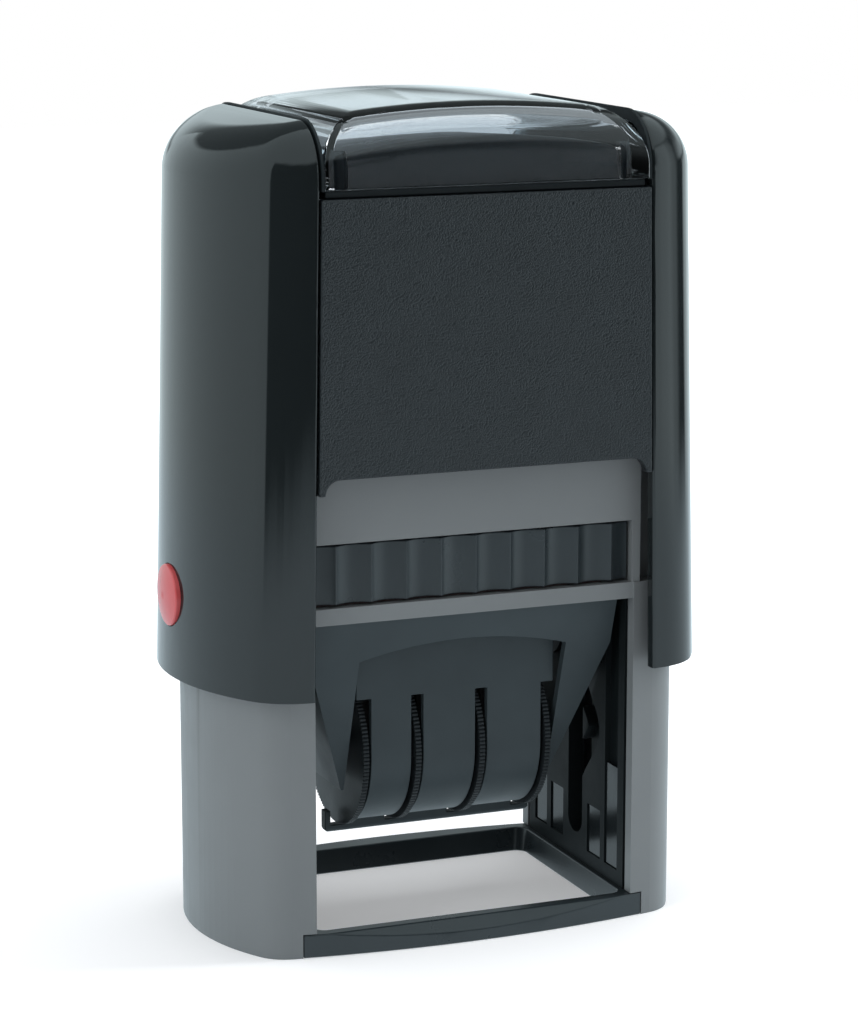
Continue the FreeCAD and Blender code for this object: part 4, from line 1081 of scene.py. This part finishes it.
@dataclass
class Surroundings:
    """The world: white where it is seen, even where it lights, in bays where mirrored.

    The bays, the sky and the rear are in degrees, round the object from its front and
    up from level. The others are parts of the direction that is looked in, whose length
    is 1: through_rise of its height, rear_turn of its depth, fold of the two multiplied.
    """

    ambient: float = 0.55
    through: Colour = (0.92, 0.97, 1.0)
    through_rise: Pair = (0.22, 0.5)
    through_glow: Pair = (1.0, 0.3)
    mirrored: Colour = (0.84, 0.99, 1.03)
    dark: float = 0.035
    bays: tuple[Bay, ...] = (
        Bay(-200.0, -71.0, 0.95, 1.5, 80.0),
        Bay(32.0, 88.0, 0.7, 8.0),
        Bay(42.0, 74.0, 0.6, 7.0),
        Bay(112.0, 200.0, 1.0, 6.0, 2.0, 3.0),
    )
    sky_rise: float = 31.0
    sky_blur: float = 5.0
    fold: Pair = (0.32, 0.37)
    rear_glow: Pair = (0.95, 0.17)
    rear_rise: Pair = (10.0, 24.0)
    rear_foot: float = 4.0
    rear_foot_blur: float = 3.0
    rear_turn: Pair = (-0.1, 0.3)

    def build(self) -> None:
        """Set up the world."""
        world = bpy.data.worlds.new("studio_world")
        bpy.context.scene.world = world
        world.use_nodes = True
        tree = world.node_tree
        tree.nodes.clear()
        out = tree.nodes.new("ShaderNodeOutputWorld")
        path = tree.nodes.new("ShaderNodeLightPath")
        light = self._background(tree, WHITE, self.ambient)
        seen = self._background(tree, WHITE, 1.0)
        mirrored = self._background(tree, self.mirrored, self._mirror_glow(tree))
        through = self._background(tree, self.through, self._through_glow(tree))
        gloss = mix_at(tree, path.outputs["Is Glossy Ray"], light, mirrored)
        clear = mix_at(tree, path.outputs["Is Transmission Ray"], gloss, through)
        whole = mix_at(tree, path.outputs["Is Camera Ray"], clear, seen)
        tree.links.new(whole, out.inputs["Surface"])

    def _background(
        self, tree: bpy.types.NodeTree, colour: Colour, glow: bpy.types.NodeSocket | float
    ) -> bpy.types.NodeSocket:
        """Add one background.

        Args:
            tree: the world's node tree.
            colour: its colour.
            glow: its brightness, as a socket or a number.

        Returns:
            The background's shader.
        """
        back = node_at(tree, "ShaderNodeBackground", Color=(*colour, 1))
        if isinstance(glow, float):
            back.inputs["Strength"].default_value = glow
        else:
            tree.links.new(glow, back.inputs["Strength"])
        return back.outputs["Background"]

    def _direction(self, tree: bpy.types.NodeTree) -> list[bpy.types.NodeSocket]:
        """Split the direction that is looked in.

        Args:
            tree: the world's node tree.

        Returns:
            Its x, y and z.
        """
        spot = tree.nodes.new("ShaderNodeTexCoord").outputs["Generated"]
        parts = tree.nodes.new("ShaderNodeSeparateXYZ")
        tree.links.new(spot, parts.inputs["Vector"])
        return [parts.outputs[name] for name in "XYZ"]

    def _step(
        self,
        tree: bpy.types.NodeTree,
        value: bpy.types.NodeSocket,
        middle: float,
        blur: float,
    ) -> bpy.types.NodeSocket:
        """Rise from 0 to 1 round a middle.

        Args:
            tree: the world's node tree.
            value: the socket that is measured.
            middle: where the rise is half done, in degrees.
            blur: how wide it is, in degrees.

        Returns:
            The output from 0 to 1.
        """
        reach = (math.radians(middle - blur), math.radians(middle + blur))
        return span_at(tree, value, reach, (0.0, 1.0), Ease.SOFT)

    def _through_glow(self, tree: bpy.types.NodeTree) -> bpy.types.NodeSocket:
        """Work out the brightness that is seen through clear parts from each direction.

        Args:
            tree: the world's node tree.

        Returns:
            The brightness.
        """
        rise = self._direction(tree)[2]
        return span_at(tree, rise, self.through_rise, self.through_glow, Ease.SOFT)

    def _mirror_glow(self, tree: bpy.types.NodeTree) -> bpy.types.NodeSocket:
        """Work out the brightness that glossy parts mirror from each direction.

        Args:
            tree: the world's node tree.

        Returns:
            The brightness.
        """
        x, y, z = self._direction(tree)
        round_about = math_at(tree, "ARCTAN2", x, math_at(tree, "MULTIPLY", y, -1.0))
        rise = math_at(tree, "ARCSINE", z)
        height_behind = math_at(tree, "MULTIPLY", y, z)
        folded = span_at(tree, height_behind, self.fold, (0.0, 1.0), Ease.SOFT)
        ahead = math_at(tree, "SUBTRACT", 1.0, folded)
        total = math_at(tree, "ADD", 0.0, self.dark)
        for bay in self.bays:
            lit = math_at(tree, "MULTIPLY", self._bay(tree, bay, round_about, rise), ahead)
            total = math_at(tree, "ADD", total, lit)
        above = self._step(tree, rise, self.sky_rise, self.sky_blur)
        sky = math_at(tree, "MULTIPLY", ahead, above)
        brightest = math_at(tree, "MAXIMUM", sky, self._rear(tree, y, rise))
        return math_at(tree, "MAXIMUM", total, brightest)

    def _bay(
        self,
        tree: bpy.types.NodeTree,
        bay: Bay,
        round_about: bpy.types.NodeSocket,
        rise: bpy.types.NodeSocket,
    ) -> bpy.types.NodeSocket:
        """Work out the brightness of one bay.

        Args:
            tree: the world's node tree.
            bay: the bay.
            round_about: the angle round the object.
            rise: the angle up from level.

        Returns:
            The brightness.
        """
        inside = math_at(
            tree,
            "SUBTRACT",
            self._step(tree, round_about, bay.start, bay.blur),
            self._step(tree, round_about, bay.end, bay.blur),
        )
        over = self._step(tree, rise, bay.top, bay.top_blur)
        under = math_at(tree, "SUBTRACT", 1.0, over)
        return math_at(tree, "MULTIPLY", math_at(tree, "MULTIPLY", inside, under), bay.glow)

    def _rear(
        self,
        tree: bpy.types.NodeTree,
        y: bpy.types.NodeSocket,
        rise: bpy.types.NodeSocket,
    ) -> bpy.types.NodeSocket:
        """Work out the brightness behind the object, which falls as it rises.

        Args:
            tree: the world's node tree.
            y: how far the direction points backwards.
            rise: the angle up from level.

        Returns:
            The brightness.
        """
        reach = (math.radians(self.rear_rise[0]), math.radians(self.rear_rise[1]))
        fall = span_at(tree, rise, reach, self.rear_glow, Ease.SOFT)
        foot = self._step(tree, rise, self.rear_foot, self.rear_foot_blur)
        back = span_at(tree, y, self.rear_turn, (0.0, 1.0), Ease.SOFT)
        return math_at(tree, "MULTIPLY", math_at(tree, "MULTIPLY", fall, foot), back)


@dataclass
class PhotoCamera:
    """The camera of the photograph: its place in millimetres and its turn in degrees."""

    eye: Point = (-161.81, -398.34, 140.44)
    yaw: float = 22.17
    pitch: float = 11.33
    focal_px: float = 3250.8
    picture_px: float = 1024.0
    sensor: float = 36.0
    nearest: float = 10.0

    def build(self) -> None:
        """Set the camera where the photograph was taken from."""
        data = bpy.data.cameras.new("photo_camera")
        data.sensor_width = self.sensor
        data.lens = self.focal_px / self.picture_px * self.sensor
        data.clip_start = self.nearest * MM
        camera = bpy.data.objects.new("photo_camera", data)
        camera.location = Vector(self.eye) * MM
        turn, dip = math.radians(self.yaw), math.radians(self.pitch)
        level = math.cos(dip)
        ahead = Vector((math.sin(turn) * level, math.cos(turn) * level, -math.sin(dip)))
        camera.rotation_euler = ahead.to_track_quat("-Z", "Y").to_euler()
        bpy.context.scene.collection.objects.link(camera)
        bpy.context.scene.camera = camera


@dataclass
class Studio:
    """Pale floor, soft lamps, bright bays to mirror and the camera of the photograph."""

    middle: Point = (0.0, 0.0, 0.05)
    lamps: tuple[SoftBox, ...] = (
        SoftBox("left_box", (-0.7, -0.25, 0.35), (0.35, 0.7), 2.0),
        SoftBox("right_box", (0.75, -0.1, 0.3), (0.25, 0.7), 6.0),
        SoftBox("top_box", (0.0, 0.1, 0.8), (0.7, 0.5), 3.5),
    )

    def build(self) -> None:
        """Make the floor, the world, the lamps and the camera."""
        Floor().build()
        Surroundings().build()
        for lamp in self.lamps:
            lamp.hang(Vector(self.middle))
        PhotoCamera().build()
        LOG.info("set up the studio")


def dressings() -> list[Dressing]:
    """List every construction node with its finish.

    Returns:
        The dressings, from the base upwards.
    """
    base, cap, pad, carriage = Body.BASE, Body.CAP, Body.PAD, Body.CARRIAGE
    listed = [
        Dressing("base_housing", base, Slot.BASE, SATIN_BASE, 0.25),
        Dressing("foot_frame", base, Slot.INNER, SATIN_INNER),
        Dressing("return_spring", base, Slot.STEEL, BRIGHT_STEEL, 0.0, squeeze=Squeeze()),
        Dressing("cap_bridge", cap, Slot.INNER, DULL_INNER, 0.15),
        Dressing("front_panel", cap, Slot.PANEL, GRAINED_PANEL),
        Dressing("rear_panel", cap, Slot.PANEL, GRAINED_PANEL),
        Dressing("index_window", Body.WINDOW, Slot.WINDOW, CLEAR_WINDOW),
        Dressing("pad_cassette", pad, Slot.INNER, SATIN_INNER, 0.15),
        Dressing("ink_pad", pad, Slot.FELT, INK_FELT, 0.4),
        Dressing("carriage_frame", carriage, Slot.CARRIAGE, SATIN_CARRIAGE, 0.15),
        Dressing("wheel_guard", carriage, Slot.CARRIAGE, SATIN_CARRIAGE, 0.12),
        Dressing("text_plate", carriage, Slot.CARRIAGE, SATIN_CARRIAGE, 0.1),
        Dressing("text_rubber", carriage, Slot.TYPE, TYPE_RUBBER, 0.1),
        Dressing("print_bridge", carriage, Slot.CARRIAGE, SATIN_CARRIAGE, 0.1),
        Dressing("wheel_axle", carriage, Slot.STEEL, BRIGHT_STEEL, 0.15),
    ]
    wall = BowedWall()
    for side in ("left", "right"):
        lock = Body(f"lock_{side}")
        listed += [
            Dressing(f"guide_plate_{side}", base, Slot.GUIDE, SATIN_GUIDE, 0.12),
            Dressing(f"side_shell_{side}", cap, Slot.SHELL, GLOSS_SHELL, 0.25, wall=wall),
            Dressing(f"pivot_pin_{side}", cap, Slot.STEEL, BRIGHT_STEEL),
            Dressing(f"lock_button_{side}", lock, Slot.BUTTON, RED_BUTTON),
        ]
    for number in range(1, 5):
        wheel = Body(f"wheel_{number}")
        listed += [
            Dressing(f"date_band_{number}", carriage, Slot.BAND, BAND_RUBBER, 0.05),
            Dressing(f"setting_wheel_{number}", wheel, Slot.WHEEL, TOOTHED_WHEEL, 0.0),
        ]
    return listed


def main() -> None:
    """Dress the stamp and set up the studio."""
    logging.basicConfig(level=logging.INFO)
    bpy.context.scene.view_settings.view_transform = "Standard"
    for dressing in dressings():
        dressing.build()
    GuidePanes().build()
    SeamShadeStrips().build()
    IndexBlock().build()
    Studio().build()


if __name__ == "__main__":
    main()
